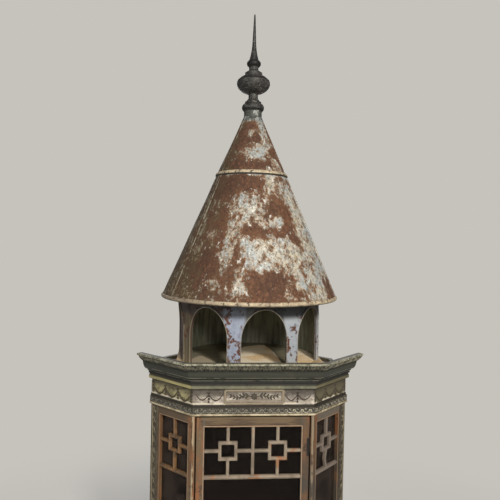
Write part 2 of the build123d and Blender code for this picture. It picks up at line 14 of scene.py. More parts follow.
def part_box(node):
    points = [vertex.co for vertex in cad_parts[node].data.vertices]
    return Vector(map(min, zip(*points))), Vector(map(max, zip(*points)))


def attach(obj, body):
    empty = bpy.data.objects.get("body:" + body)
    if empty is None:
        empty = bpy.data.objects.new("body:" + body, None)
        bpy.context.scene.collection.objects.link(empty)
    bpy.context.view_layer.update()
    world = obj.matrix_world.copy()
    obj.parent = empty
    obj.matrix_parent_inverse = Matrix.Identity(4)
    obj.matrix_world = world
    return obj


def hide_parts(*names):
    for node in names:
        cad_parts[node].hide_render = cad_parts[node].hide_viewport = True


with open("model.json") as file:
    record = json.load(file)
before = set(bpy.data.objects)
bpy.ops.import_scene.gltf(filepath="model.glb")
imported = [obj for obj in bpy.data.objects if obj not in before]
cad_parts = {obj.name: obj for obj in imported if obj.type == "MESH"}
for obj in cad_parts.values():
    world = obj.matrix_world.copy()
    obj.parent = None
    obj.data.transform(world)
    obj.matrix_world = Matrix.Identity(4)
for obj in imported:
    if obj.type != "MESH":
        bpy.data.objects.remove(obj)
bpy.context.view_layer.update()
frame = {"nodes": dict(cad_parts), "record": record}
nodes = frame["nodes"]

# Camera, as the photograph was taken
VIEW_AZIMUTH = radians(-5.0)
VIEW_DISTANCE = 1.890
EYE_HEIGHT = 1.520
VIEW_PITCH = radians(0.95)
VIEW_ROLL = radians(1.2)
LENS = 38.88
SENSOR = 36

# Plan of the cabinet
HALF_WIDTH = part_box("frieze")[1].x
HALF_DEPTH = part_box("frieze")[1].y
CANT = 0.135
CANT_EDGE = HALF_WIDTH - CANT
WALL = 0.020
BODY_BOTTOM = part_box("front_posts")[0].z
BODY_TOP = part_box("front_posts")[1].z
FRIEZE_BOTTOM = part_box("architrave")[1].z
CORNICE_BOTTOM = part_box("cornice_front")[0].z
CORNICE_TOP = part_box("cornice_front")[1].z
CORNICE_OUT = -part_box("cornice_front")[0].y - HALF_DEPTH
CORNICE_FOOT = -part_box("cornice_front")[1].y - HALF_DEPTH
FASCIA_TOP = CORNICE_BOTTOM + 0.018
TABLET_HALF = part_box("frieze_tablet")[1].x
BOARD_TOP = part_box("top_board")[1].z

# Roof and arcade
ARCADE_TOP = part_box("arcade_pier_1")[1].z
ARCADE_RADIUS = 0.243
ARCADE_INSIDE = 0.233
RUSTED_EDGES = ((-0.372, -0.318), (-0.224, -0.170), (0.592, 0.632))
ARCADE_TURN = radians(7.3)
PIER_COUNT = 8
LEG_TURN = pi / PIER_COUNT - ARCADE_TURN
LEG_WIDTH = 0.046
ARCH_SPRING = 0.092
ARCH_RISE = 0.097
CONE_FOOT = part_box("lower_cone")[0].z
BAND_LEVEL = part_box("lower_cone")[1].z
CONE_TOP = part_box("upper_cone")[1].z
FOOT_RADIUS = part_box("lower_cone")[1].x
BAND_RADIUS = 0.121
COLLAR_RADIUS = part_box("cone_collar")[1].x

# Door and fixed lights
DOOR_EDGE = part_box("door_frame")[1].x
DOOR_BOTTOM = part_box("door_frame")[0].z
DOOR_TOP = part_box("door_frame")[1].z
DOOR_STILE = 0.0245
DOOR_TOP_RAIL = 0.030
DOOR_BOTTOM_RAIL = 0.048
LIGHT_TOP_RAIL = 0.027
LIGHT_BOTTOM_RAIL = 0.050
LIGHT_STILE = 0.014
LIGHT_OUTER_STILE = 0.008
SLOT_BOTTOM = 0.861
SLOT_TOP = 0.917
NARROW_POST = 0.007
WIDE_POST = 0.035
LATTICE_BAND = 0.150
LATTICE_RAIL = 0.011
LATTICE_SET_BACK = 0.003
BAR_WIDTH = 0.009
DOOR_SQUARE = 0.058
LIGHT_SQUARE = 0.052
BOWED_BAR = 0.006

# Faces of the plan, from the front round to the right
FRONT, FRONT_RIGHT, RIGHT, LEFT, FRONT_LEFT = 0, 1, 2, 6, 7
FACE_COUNT = 8
MOULDED = (FRONT, FRONT_RIGHT, FRONT_LEFT)

UP = Vector((0, 0, 1))
HANG_DOWN = radians(-90)
rng = random.Random(7)


# Places on the faces of the plan
def plan_corners(out=0.0):
    """Corners of the plan, moved outwards by out, from the left end of the front."""
    grow = out * tan(radians(22.5))
    far_x, far_y = HALF_WIDTH + out, HALF_DEPTH + out
    near_x, near_y = HALF_WIDTH - CANT + grow, HALF_DEPTH - CANT + grow
    corners = [
        (-near_x, -far_y), (near_x, -far_y), (far_x, -near_y), (far_x, near_y),
        (near_x, far_y), (-near_x, far_y), (-far_x, near_y), (-far_x, -near_y),
    ]
    return [Vector((x, y, 0)) for x, y in corners]


CORNERS = plan_corners()


def along(face):
    return (CORNERS[(face + 1) % FACE_COUNT] - CORNERS[face % FACE_COUNT]).normalized()


def outward(face):
    direction = along(face)
    return Vector((direction.y, -direction.x, 0))


def face_length(face, out=0.0):
    corners = plan_corners(out)
    return (corners[(face + 1) % FACE_COUNT] - corners[face % FACE_COUNT]).length


def standing(origin, side, out):
    """Place with x to the side, y up and z outwards."""
    return Matrix.Translation(origin) @ Matrix((side, UP, out)).transposed().to_4x4()


def on_face(face, x=0.0, z=0.0, out=0.0, turn=0.0):
    """Place with x along the face, y up and z outwards, turned in its own plane."""
    middle = (CORNERS[face % FACE_COUNT] + CORNERS[(face + 1) % FACE_COUNT]) / 2
    origin = middle + along(face) * x + outward(face) * out + Vector((0, 0, z))
    return standing(origin, along(face), outward(face)) @ Matrix.Rotation(turn, 4, "Z")


# Shapes, gathered from many small parts. A part is its points, its faces and how far each point
# stands up in the relief
class Shape:
    def __init__(self):
        self.points = []
        self.faces = []
        self.relief = []

    def add(self, part, place=Matrix.Identity(4)):
        points, faces, relief = part
        start = len(self.points)
        self.points += [place @ Vector(point) for point in points]
        self.faces += [[start + index for index in face] for face in faces]
        self.relief += relief or [1.0] * len(points)

    def piece(self, name, material, slot, body="case", sharp=40):
        """Turns the shape into an object that rides on a body."""
        mesh = bpy.data.meshes.new(name)
        mesh.from_pydata(self.points, [], self.faces)
        mesh.polygons.foreach_set("use_smooth", [True] * len(mesh.polygons))
        mesh.set_sharp_from_angle(angle=radians(sharp))
        add_values(mesh, relief=self.relief)
        mesh.materials.append(material)
        mesh.update()
        made = bpy.data.objects.new(name, mesh)
        bpy.context.scene.collection.objects.link(made)
        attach(made, body)
        return made


def add_values(mesh, **values):
    """Numbers for each point of a mesh, under a name that a material can read."""
    for label, numbers in values.items():
        attribute = mesh.attributes.new(label, "FLOAT", "POINT")
        attribute.data.foreach_set("value", numbers)


def grid(rows, closed=False, relief=None):
    """Part over rows of points that all have the same length."""
    width = len(rows[0])
    faces = []
    for start in range(0, width * (len(rows) - 1), width):
        for column in range(width if closed else width - 1):
            after = (column + 1) % width
            faces.append((start + column, start + after, start + width + after, start + width + column))
    return [point for row in rows for point in row], faces, relief


def strand(path, radius, sides=6, half=False, normal=UP, lumps=0, lump_depth=0.0, taper=False):
    """Tube, or half-round strip, along a path. Lumps swell it in turn and taper thins its ends."""
    rows, relief = [], []
    last = len(path) - 1
    spread = pi if half else 2 * pi
    for index, point in enumerate(path):
        ahead = Vector(path[min(index + 1, last)]) - Vector(path[max(index - 1, 0)])
        ahead.normalize()
        side = ahead.cross(normal).normalized()
        upright = side.cross(ahead).normalized()
        share = index / last
        size = radius
        if taper:
            size *= 0.35 + 0.65 * sin(pi * share)
        if lumps:
            size *= 1 - lump_depth * abs(cos(pi * lumps * share))
        row = []
        for step in range(sides + 1 if half else sides):
            angle = spread * step / sides
            row.append(Vector(point) + side * cos(angle) * size + upright * sin(angle) * size)
            relief.append(max(0.0, sin(angle)) if half else 0.7 + 0.3 * sin(angle))
        rows.append(row)
    return grid(rows, not half, relief)


def leaf(length, width, height, rib, rows, columns=6, curl=0.0):
    """Carved leaf from the origin along +X, raised along +Z, with a sunk middle rib."""
    lines, relief = [], []
    for row in range(rows + 1):
        share = row / rows
        half_width = width / 2 * sin(pi * min(1.0, share * 0.92 + 0.08)) ** 0.7
        body = height * (0.25 + 0.75 * sin(pi * (0.15 + 0.85 * share)))
        bend = curl * length * share ** 2
        line = []
        for column in range(columns + 1):
            across = 2 * column / columns - 1
            dome = 1 - across ** 2
            valley = rib * exp(-(across * 3.2) ** 2)
            raised = body * max(0.0, dome * (1 - valley))
            line.append((length * share, across * half_width + bend, raised))
            relief.append(max(0.0, dome - valley) * (0.5 + 0.5 * body / height))
        lines.append(line)
    return grid(lines, relief=relief)


def knob(radius, height, rings, sides, petals=0, petal_depth=0.0):
    """Low dome, or a flower when it has petals."""
    rows, relief = [], []
    for ring in range(rings + 1):
        share = ring / rings
        row = []
        for side in range(sides):
            angle = 2 * pi * side / sides
            wave = 1 - petal_depth * (0.5 - 0.5 * cos(petals * angle)) if petals else 1.0
            reach = radius * cos(share * pi / 2) * wave
            row.append((reach * cos(angle), reach * sin(angle), height * sin(share * pi / 2)))
            relief.append(share)
        rows.append(row)
    return grid(rows, True, relief)


def bead_run(shape, face, start, end, out, radius=0.0026, flat=0.85, steps=4, sides=6):
    """Half-round strip between two points of a face, its height cut to a share."""
    path = []
    for step in range(steps + 1):
        share = step / steps
        path.append((start[0] + (end[0] - start[0]) * share, start[1] + (end[1] - start[1]) * share, 0))
    points, faces, relief = strand(path, radius, sides, half=True)
    points = [(x, y, z * flat) for x, y, z in points]
    shape.add((points, faces, relief), on_face(face, 0, 0, out))


def bead_ring(shape, face, left, right, low, high, out, **options):
    """Half-round strips round a rectangle of a face."""
    corners = [(left, low), (right, low), (right, high), (left, high)]
    for index in range(4):
        bead_run(shape, face, corners[index], corners[(index + 1) % 4], out, **options)


# Materials
def rgb(code):
    """Linear colour from an sRGB hex code."""
    channels = [int(code[index:index + 2], 16) / 255 for index in (1, 3, 5)]
    linear = [c / 12.92 if c <= 0.04045 else ((c + 0.055) / 1.055) ** 2.4 for c in channels]
    return (*linear, 1.0)


class Value:
    """What a socket gives. Signs and calls on a value add the nodes that work out a new one."""

    def __init__(self, paint, socket):
        self.paint, self.socket = paint, socket

    def math(self, operation, other=0.0):
        made = self.paint.node("ShaderNodeMath", {0: self, 1: other}, operation=operation)
        return Value(self.paint, made.outputs[0])

    def __add__(self, other):
        return self.math("ADD", other)

    def __sub__(self, other):
        return self.math("SUBTRACT", other)

    def __mul__(self, other):
        return self.math("MULTIPLY", other)

    def __pow__(self, other):
        return self.math("POWER", other)

    def __abs__(self):
        return self.math("ABSOLUTE")

    def most(self, other):
        return self.math("MAXIMUM", other)

    def step(self, low, high):
        """Smooth 0 to 1 as the value goes from low to high."""
        made = self.paint.node("ShaderNodeMapRange", {"Value": self, "From Min": low, "From Max": high},
                               interpolation_type="SMOOTHSTEP")
        return Value(self.paint, made.outputs["Result"])

    def window(self, low, high, soft=0.0004):
        """1 between low and high."""
        return self.step(low - soft, low + soft) - self.step(high - soft, high + soft)

    def ragged(self, ground, amount):
        """The value with a noise added, of which 0.5 is the middle."""
        return self + (ground - 0.5) * amount

    def mix(self, first, second):
        """Colour that goes from the first to the second as the value goes from 0 to 1."""
        first, second = (rgb(ink) if isinstance(ink, str) else ink for ink in (first, second))
        inputs = {"Factor": self, "A": first, "B": second}
        made = self.paint.node("ShaderNodeMix", inputs, data_type="RGBA")
        return Value(self.paint, made.outputs["Result"])


class Nodes:
    """The node tree of a material or a world."""

    def __init__(self, owner, output):
        owner.use_nodes = True
        self.tree = owner.node_tree
        self.output = self.tree.nodes[output].inputs["Surface"]

    def node(self, kind, inputs, **settings):
        made = self.tree.nodes.new(kind)
        for name, value in settings.items():
            setattr(made, name, value)
        for key, value in inputs.items():
            self.feed(made.inputs[key], value)
        return made

    def feed(self, socket, value):
        if isinstance(value, Value):
            value = value.socket
        if isinstance(value, bpy.types.NodeSocket):
            self.tree.links.new(value, socket)
        else:
            socket.default_value = value

    def mix_shaders(self, share, first, second):
        inputs = {"Fac": share, 1: first.outputs[0], 2: second.outputs[0]}
        return self.node("ShaderNodeMixShader", inputs)

    def surface(self, shader):
        self.feed(self.output, shader.outputs[0])


class Paint(Nodes):
    """A material and short calls that add nodes to it."""

    def __init__(self, name):
        self.material = bpy.data.materials.new(name)
        super().__init__(self.material, "Material Output")
        self.shader = self.tree.nodes["Principled BSDF"]
        self.position = self.node("ShaderNodeTexCoord", {}).outputs["Object"]

    def axes(self):
        split = self.node("ShaderNodeSeparateXYZ", {0: self.position})
        return [Value(self, split.outputs[name]) for name in "XYZ"]

    def noise(self, scale, detail, roughness, stretch=(1, 1, 1), shift=0.0, distortion=0.0):
        mapping = self.node("ShaderNodeMapping", {
            "Vector": self.position, "Scale": stretch, "Location": (shift, shift * 1.7, shift * 2.3)})
        made = self.node("ShaderNodeTexNoise", {
            "Vector": mapping.outputs[0], "Scale": scale, "Detail": detail, "Roughness": roughness,
            "Distortion": distortion})
        return Value(self, made.outputs["Fac"])

    def attribute(self, name):
        return Value(self, self.node("ShaderNodeAttribute", {}, attribute_name=name).outputs["Fac"])

    def layers(self, colour, *layers):
        """Colour with others laid over it in turn. A layer is how far it covers, and its colour."""
        for share, over in layers:
            colour = share.mix(colour, over)
        return colour

    def done(self, colour, roughness, *bumps):
        """Feeds the shader. Roughness is one value, or low, high and share. A bump is height, distance
        and strength."""
        value = roughness[0]
        if len(roughness) > 1:
            low, high, share = roughness
            inputs = {"Value": share, "To Min": low, "To Max": high}
            value = self.node("ShaderNodeMapRange", inputs).outputs[0]
        self.feed(self.shader.inputs["Base Color"], colour)
        self.feed(self.shader.inputs["Roughness"], value)
        under = {}
        for height, distance, strength in bumps:
            inputs = {"Height": height, "Distance": distance, "Strength": strength}
            under = {"Normal": self.node("ShaderNodeBump", {**inputs, **under}).outputs["Normal"]}
            self.feed(self.shader.inputs["Normal"], under["Normal"])
        return self.material

    def beyond(self):
        """How far a place lies out from the front and the front cants of the plan."""
        x, y, z = self.axes()
        front = y * -1.0 - HALF_DEPTH
        cant = abs(x) - y - (HALF_WIDTH + HALF_DEPTH - CANT)
        return front.most(cant * sqrt(0.5))

    def within(self, corners, rough):
        """1 inside a convex outline seen from above, whose corners run clockwise."""
        x, y, z = self.axes()
        depth = None
        for index, (start_x, start_y) in enumerate(corners):
            end_x, end_y = corners[(index + 1) % len(corners)]
            side = Vector((end_y - start_y, start_x - end_x)).normalized()
            apart = x * side.x + y * side.y - (start_x * side.x + start_y * side.y)
            depth = apart if depth is None else depth.math("MINIMUM", apart)
        return depth.ragged(self.noise(70, 4, 0.6, shift=9), rough).step(-0.0015, 0.0015)

    def inside(self):
        """1 on surfaces that look into the cabinet."""
        x, y, z = self.axes()
        x, y = abs(x), abs(y)
        wide, deep = HALF_WIDTH - WALL, HALF_DEPTH - WALL
        canted = HALF_WIDTH + HALF_DEPTH - CANT - WALL * sqrt(2)
        room = x.step(wide + 0.0008, wide + 0.0004) * y.step(deep + 0.0008, deep + 0.0004)
        room = room * (x + y).step(canted + 0.0010, canted + 0.0005)
        return room * z.window(BODY_BOTTOM - 0.016, BODY_TOP + 0.013)


def flaking_metal():
    """Old pale paint that holds in patches over rust."""
    paint = Paint("flaking_metal")
    broad = paint.noise(8, 4, 0.6)
    middle = paint.noise(30, 6, 0.62, stretch=(1, 1, 0.8), shift=3)
    small = paint.noise(72, 5, 0.68, stretch=(1, 1, 0.7), shift=5)
    fleck = paint.noise(125, 3, 0.6, stretch=(1, 1, 0.8), shift=21)
    fine = paint.noise(240, 4, 0.7, shift=8)
    tint = paint.noise(17, 4, 0.6, shift=11)
    streaks = paint.noise(42, 4, 0.6, stretch=(1.6, 1.6, 0.12), shift=2)
    # This attribute carries olive dirt and painted shade: towards the left it browns and darkens the
    # rust and the pale paint, and low down it adds dirt.
    grime = paint.attribute("grime")
    slate = paint.attribute("slate")
    dirt_and_shade = grime.ragged(middle, 1.6)
    rust = paint.layers(
        "#614029", (broad.step(0.38, 0.62), "#513624"), (small.step(0.51, 0.64), "#412a1e"),
        (streaks.step(0.52, 0.7), "#694a34"), (fleck.step(0.55, 0.66), "#44291d"),
        (fleck.step(0.43, 0.35), "#764f38"), (fine.step(0.6, 0.74), "#7f5b43"),
        (dirt_and_shade.step(0.2, 0.8), "#54432a"), (dirt_and_shade.step(0.55, 1.0) * small.step(0.44, 0.58), "#382d20"),
        (dirt_and_shade.step(0.35, 0.8) * fleck.step(0.53, 0.62), "#85775a"))
    cover = paint.attribute("cover")
    for ground, amount in ((middle, 2.6), (small, 2.7), (fleck, 1.5), (fine, 0.8)):
        cover = cover.ragged(ground, amount)
    stain = cover.step(0.18, 0.5)
    holds = cover.step(0.46, 0.56)
    thick = cover.step(0.56, 0.84)
    pale = paint.layers(
        "#c0b8a6", (tint.step(0.44, 0.6), "#a9afad"), ((tint + small).step(0.9, 0.78), "#b3a781"))
    pale = paint.layers(
        "#a8927a", (thick, pale), (fleck.step(0.51, 0.6), "#7b766b"),
        (fine.step(0.54, 0.66), "#6f675c"), (small.step(0.59, 0.68), "#dedbd2"),
        (dirt_and_shade.step(0.3, 0.9), "#857d64"))
    x, y, z = paint.axes()
    # Painted shade: a near-black mix darkens the left of the sheet, and its upper part left of the
    # middle.
    high = z.step(BAND_LEVEL - 0.2, BAND_LEVEL) * 0.17 * x.step(0.08, 0.02)
    left = x.step(0.0, -0.16) * 0.15
    colour = paint.layers(
        rust, (stain * 0.45, "#977d62"), (holds, pale),
        (slate, small.step(0.45, 0.6).mix("#424641", "#686b66")),
        (slate * cover.step(0.84, 0.96), "#989a96"), (high + left, "#17110c"))
    return paint.done(
        colour, (0.85, 0.55, holds), (holds, 0.0006, 0.7), (fine, 0.0005, 0.45), (middle, 0.0015, 0.3))


def rim_metal():
    """Worn cream paint on the rolled edges, rubbed through to rust and dark metal."""
    paint = Paint("rim_metal")
    middle = paint.noise(45, 5, 0.65)
    fine = paint.noise(180, 4, 0.7, shift=4)
    x, y, z = paint.axes()
    nicks = paint.noise(95, 3, 0.6, shift=7)
    left = x + middle * 0.16
    # Painted shade under the rim's roll and under the band's bead.
    under_rim = z.step(CONE_FOOT - 0.008, CONE_FOOT - 0.013)
    near_band = z.step(BAND_LEVEL - 0.05, BAND_LEVEL - 0.03)
    under_band = near_band * z.step(BAND_LEVEL - 0.001, BAND_LEVEL - 0.003)
    shade = (under_rim * 0.65).most(under_band)
    colour = paint.layers(
        "#c8b797", (middle.step(0.35, 0.65), "#a1927a"), (middle.step(0.6, 0.68), "#6b4a34"),
        (nicks.step(0.56, 0.62), "#5a4a3c"), (fine.step(0.62, 0.72), "#5d4c3e"),
        (left.step(-0.02, -0.14) * 0.55, "#6a5a4d"), (shade, "#2f2a23"))
    return paint.done(colour, (0.5, 0.8, middle), (fine, 0.0008, 0.5))


# Levels of the dark joints, each with half its width
SPIKE_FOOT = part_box("finial_spike")[0].z
FINIAL_JOINTS = ((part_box("finial_base")[0].z + 0.0040, 0.0030),
                 (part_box("finial_ball")[0].z + 0.0589, 0.0034), (SPIKE_FOOT + 0.0115, 0.0090))


def finial_metal():
    """Dark weathered castings with greenish grey rubs and pale spots."""
    paint = Paint("finial_metal")
    x, y, z = paint.axes()
    middle = paint.noise(40, 5, 0.6)
    grains = paint.noise(120, 4, 0.65, shift=9)
    fine = paint.noise(230, 4, 0.7, shift=3)
    spots = fine.step(0.6, 0.66) * middle.step(0.53, 0.6)
    on_spike = z.step(SPIKE_FOOT, SPIKE_FOOT + 0.01)
    colour = paint.layers(
        "#2a2927", (middle.step(0.35, 0.7), "#413f3b"), (grains.step(0.46, 0.38), "#1b1a19"),
        (grains.step(0.54, 0.64), "#5a5852"), (fine.step(0.58, 0.72), "#66635c"), (spots, "#b3b1a8"),
        (on_spike * 0.45, "#1d1c1b"))
    ragged = z.ragged(middle, 0.004)
    for level, half in FINIAL_JOINTS:
        colour = (ragged.window(level - half, level + half, 0.0008) * 0.85).mix(colour, "#0f0e0d")
    paint.shader.inputs["Metallic"].default_value = 0.25
    return paint.done(colour, (0.42, 0.75, middle), (fine, 0.0008, 0.6), (middle, 0.003, 0.25))


def arcade_metal():
    """Blue-grey paint chipped to rust, browner towards the left."""
    paint = Paint("arcade_metal")
    x, y, z = paint.axes()
    broad = paint.noise(13, 4, 0.6)
    middle = paint.noise(50, 5, 0.65, shift=2)
    fine = paint.noise(220, 4, 0.7, shift=6)
    streaks = paint.noise(60, 4, 0.6, stretch=(1.4, 1.4, 0.15), shift=4)
    turn = x.math("ARCTAN2", y * -1.0)
    ragged = turn.ragged(middle, 0.35)
    rust = fine.step(0.4, 0.6).mix("#6a4432", "#4c3226")
    apart = (turn + LEG_TURN).math("PINGPONG", pi / PIER_COUNT)
    # The spandrels go dark brown-grey high under the roof: partly their paint, partly painted shade.
    spandrel_tone_and_shade = apart.step(0.11, 0.17) * z.step(ARCADE_TOP - 0.1, ARCADE_TOP - 0.06)
    left = (x + broad * 0.1).step(-0.085, -0.125)
    olive = paint.layers(
        "#756a50", (streaks.step(0.4, 0.65), "#57452f"),
        (z.step(ARCADE_TOP - 0.055, ARCADE_TOP - 0.02), "#6a4630"))
    colour = paint.layers(
        "#9ba3b4", (streaks.step(0.35, 0.7), "#878f9f"), (turn.step(0.15, 0.35), "#a3a8ae"),
        (fine.step(0.55, 0.7), "#b7bbbd"), (middle.step(0.57, 0.66), "#787a80"),
        (spandrel_tone_and_shade * 0.92, middle.step(0.4, 0.6).mix("#5d5c4f", "#46423a")), (left, olive))
    chips = (broad * 0.7 + middle).step(0.91, 0.96)
    for first, last in RUSTED_EDGES:
        edge = ragged.window(first, last, 0.008)
        chips = chips.most(edge * broad.step(0.4, 0.46))
    # Painted shade under the roof: near black at the top of the piers, deeper on the right.
    shade = z.step(ARCADE_TOP - 0.06, ARCADE_TOP - 0.04)
    shade_depth = x.step(0.04, 0.07) * 0.22 + 0.72
    dust = z.step(BOARD_TOP + 0.05, BOARD_TOP)
    radius = (x * x + y * y) ** 0.5
    # Purple-brown on the arch reveals and the sunk faces behind the outer face: partly their colour,
    # partly painted shade in the recess.
    sunk = radius.step(ARCADE_RADIUS - 0.003, ARCADE_RADIUS - 0.0038)
    inner = radius.step(ARCADE_INSIDE + 0.0009, ARCADE_INSIDE + 0.0005)
    colour = paint.layers(
        colour, (chips, rust), (shade * shade_depth, "#1f2123"), (dust * 0.25, "#b5a98e"),
        (sunk * 0.75, "#47383a"), (inner, streaks.step(0.4, 0.6).mix("#8d8e7c", "#6d6f5f")))
    return paint.done(colour, (0.5, 0.85, chips), (chips, 0.0005, -0.7), (fine, 0.0006, 0.35))


BOARD_WIDTH = 0.097

# Pools of lamp light, painted on the board inside the arcade. Seen from above, corners clockwise
LAMP_POOLS = (
    ((-0.190, -0.150), (-0.207, -0.082), (-0.171, -0.019), (-0.157, -0.019), (-0.117, -0.111),
     (-0.100, -0.150)),
    ((-0.070, -0.150), (-0.060, -0.050), (-0.035, 0.060), (-0.006, 0.141), (0.010, 0.157),
     (0.055, 0.181), (0.078, 0.182), (0.094, 0.096), (0.101, 0.025), (0.101, -0.150)),
    ((0.128, -0.150), (0.190, 0.205), (0.227, 0.205), (0.237, 0.136), (0.237, -0.150)),
)


def board_wood():
    """Bare dusty boards, laid from side to side. Inside the arcade the floor is painted in shade, but
    for three painted pools of lamp light.
    """
    paint = Paint("board_wood")
    x, y, z = paint.axes()
    grain = paint.noise(26, 6, 0.65, stretch=(0.25, 3.2, 1), distortion=0.6)
    broad = paint.noise(6, 3, 0.5)
    fine = paint.noise(160, 3, 0.6, shift=2)
    joint = y.math("PINGPONG", BOARD_WIDTH / 2).step(0.0012, 0.0006)
    colour = paint.layers(
        "#c4ab82", (grain.step(0.35, 0.7), "#ab9069"), (broad.step(0.5, 0.66), "#cdbf9f"),
        (fine.step(0.58, 0.7), "#8f7a5b"), (joint, "#40342a"))
    # Painted light: three pools of lamp light on the floor inside the arcade.
    lamp_pools = 0.0
    for corners in LAMP_POOLS:
        lamp_pools = paint.within(corners, 0.012).most(lamp_pools)
    radius = (x * x + y * y) ** 0.5
    top = z.step(BOARD_TOP - 0.001, BOARD_TOP - 0.0005)
    in_ring = top * radius.step(ARCADE_INSIDE + 0.001, ARCADE_INSIDE)
    # Lit and shaded copies of the floor: pale tan where lamp light is painted, with the left pool
    # dimmer, and darker olive-grey where shade is painted.
    lit_floor = paint.layers(
        "#f0d3a6", (fine.step(0.48, 0.6), "#d6b686"), (broad.step(0.4, 0.48), "#f2e4c9"),
        (x.step(-0.09, -0.1) * 0.6, "#6b5a41"))
    shaded_floor = grain.step(0.4, 0.65).mix("#7f7962", "#63604f")
    floor = lamp_pools.mix(shaded_floor, lit_floor)
    # Darker on the sides of the board between the top of the body and the board's top.
    below_board_top = z.step(BOARD_TOP - 0.001, BOARD_TOP - 0.0015)
    near_foot = below_board_top * z.step(BODY_TOP, BODY_TOP + 0.01)
    colour = paint.layers(colour, (near_foot * 0.6, "#4a4233"), (in_ring, floor))
    return paint.done(colour, (0.8,), (joint, 0.001, -0.8), (grain, 0.0006, 0.4))


def lining_wood():
    """Dark stained boards inside the cabinet."""
    paint = Paint("lining_wood")
    grain = paint.noise(30, 5, 0.6, stretch=(1, 1, 0.2))
    return paint.done(grain.step(0.35, 0.7).mix("#24120e", "#160c0a"), (0.6,), (grain, 0.0006, 0.4))


def cornice_paint():
    """Green-black mouldings with a worn cream lip, pale fillets and an olive fascia."""
    paint = Paint("cornice_paint")
    x, y, z = paint.axes()
    middle = paint.noise(30, 5, 0.65)
    fine = paint.noise(170, 4, 0.7, shift=2)
    streaks = paint.noise(22, 5, 0.6, stretch=(0.4, 0.4, 9), shift=5)
    dark = paint.layers(
        "#2e2f25", (streaks.step(0.35, 0.65), "#21221a"), (middle.step(0.55, 0.68), "#3d362c"),
        (fine.step(0.62, 0.72), "#67665c"))
    out = paint.beyond()
    front = abs(x).step(CANT_EDGE + 0.008, CANT_EDGE + 0.004)
    olive = paint.layers(
        "#74725a", (middle.step(0.4, 0.65), "#5c5b4a"), (fine.step(0.6, 0.7), "#a09d86"))
    # On the cants the fascia is painted lit on the left, bright yellow-beige, and shaded on the right,
    # darker brown.
    brown = streaks.step(0.4, 0.6).mix("#6d664a", "#565039")
    cant_fascia_light_and_shade = paint.layers("#b0a670", (streaks.step(0.4, 0.6), "#8f8560"), (x.step(-0.01, 0.01), brown))
    chips = paint.noise(105, 4, 0.65, shift=12)
    cream = paint.layers(
        "#a8a58f", (middle.step(0.4, 0.6), "#8d8a75"), (chips.step(0.5, 0.58), "#5d5a4a"),
        (fine.step(0.54, 0.62), "#5a5546"))
    on_fascia = z.window(CORNICE_BOTTOM + 0.0005, FASCIA_TOP - 0.0006)
    # Painted shade at the top of the fascia, under the fillets.
    fascia_grime = z.step(FASCIA_TOP - 0.0115, FASCIA_TOP - 0.0065)
    olive = paint.layers(cant_fascia_light_and_shade, (front, olive), (fascia_grime * 0.9, "#1f1d18"))
    on_lip = z.step(CORNICE_TOP - 0.0065, CORNICE_TOP - 0.0055)
    rubbed = on_lip * out.step(CORNICE_OUT - 0.007, CORNICE_OUT - 0.004)
    edge = z.window(FASCIA_TOP + 0.0082, FASCIA_TOP + 0.01, 0.0004)
    edge = edge.most(z.window(FASCIA_TOP + 0.0195, FASCIA_TOP + 0.0215, 0.0005))
    edge = edge * middle.step(0.36, 0.52)
    cove = z.window(FASCIA_TOP + 0.024, FASCIA_TOP + 0.038, 0.003)
    # Painted shade: near black over the 7 mm above the fascia.
    low = z.step(FASCIA_TOP + 0.0078, FASCIA_TOP + 0.007)
    # Darker brown on the faces that lie inward of the cornice's foot.
    behind = out.step(CORNICE_FOOT - 0.0005, CORNICE_FOOT - 0.001)
    inward_darker = behind * z.step(CORNICE_BOTTOM, CORNICE_BOTTOM + 0.001)
    colour = paint.layers(
        dark, (edge * 0.8, "#8c8b7a"), (cove * 0.5, "#3f4237"), (low * 0.85, "#17150f"),
        (on_fascia, olive), (on_lip * 0.6, "#5b5848"), (rubbed, cream), (inward_darker * 0.7, "#4d4535"))
    return paint.done(colour, (0.5, 0.8, middle), (fine, 0.0006, 0.45), (streaks, 0.0012, 0.3))


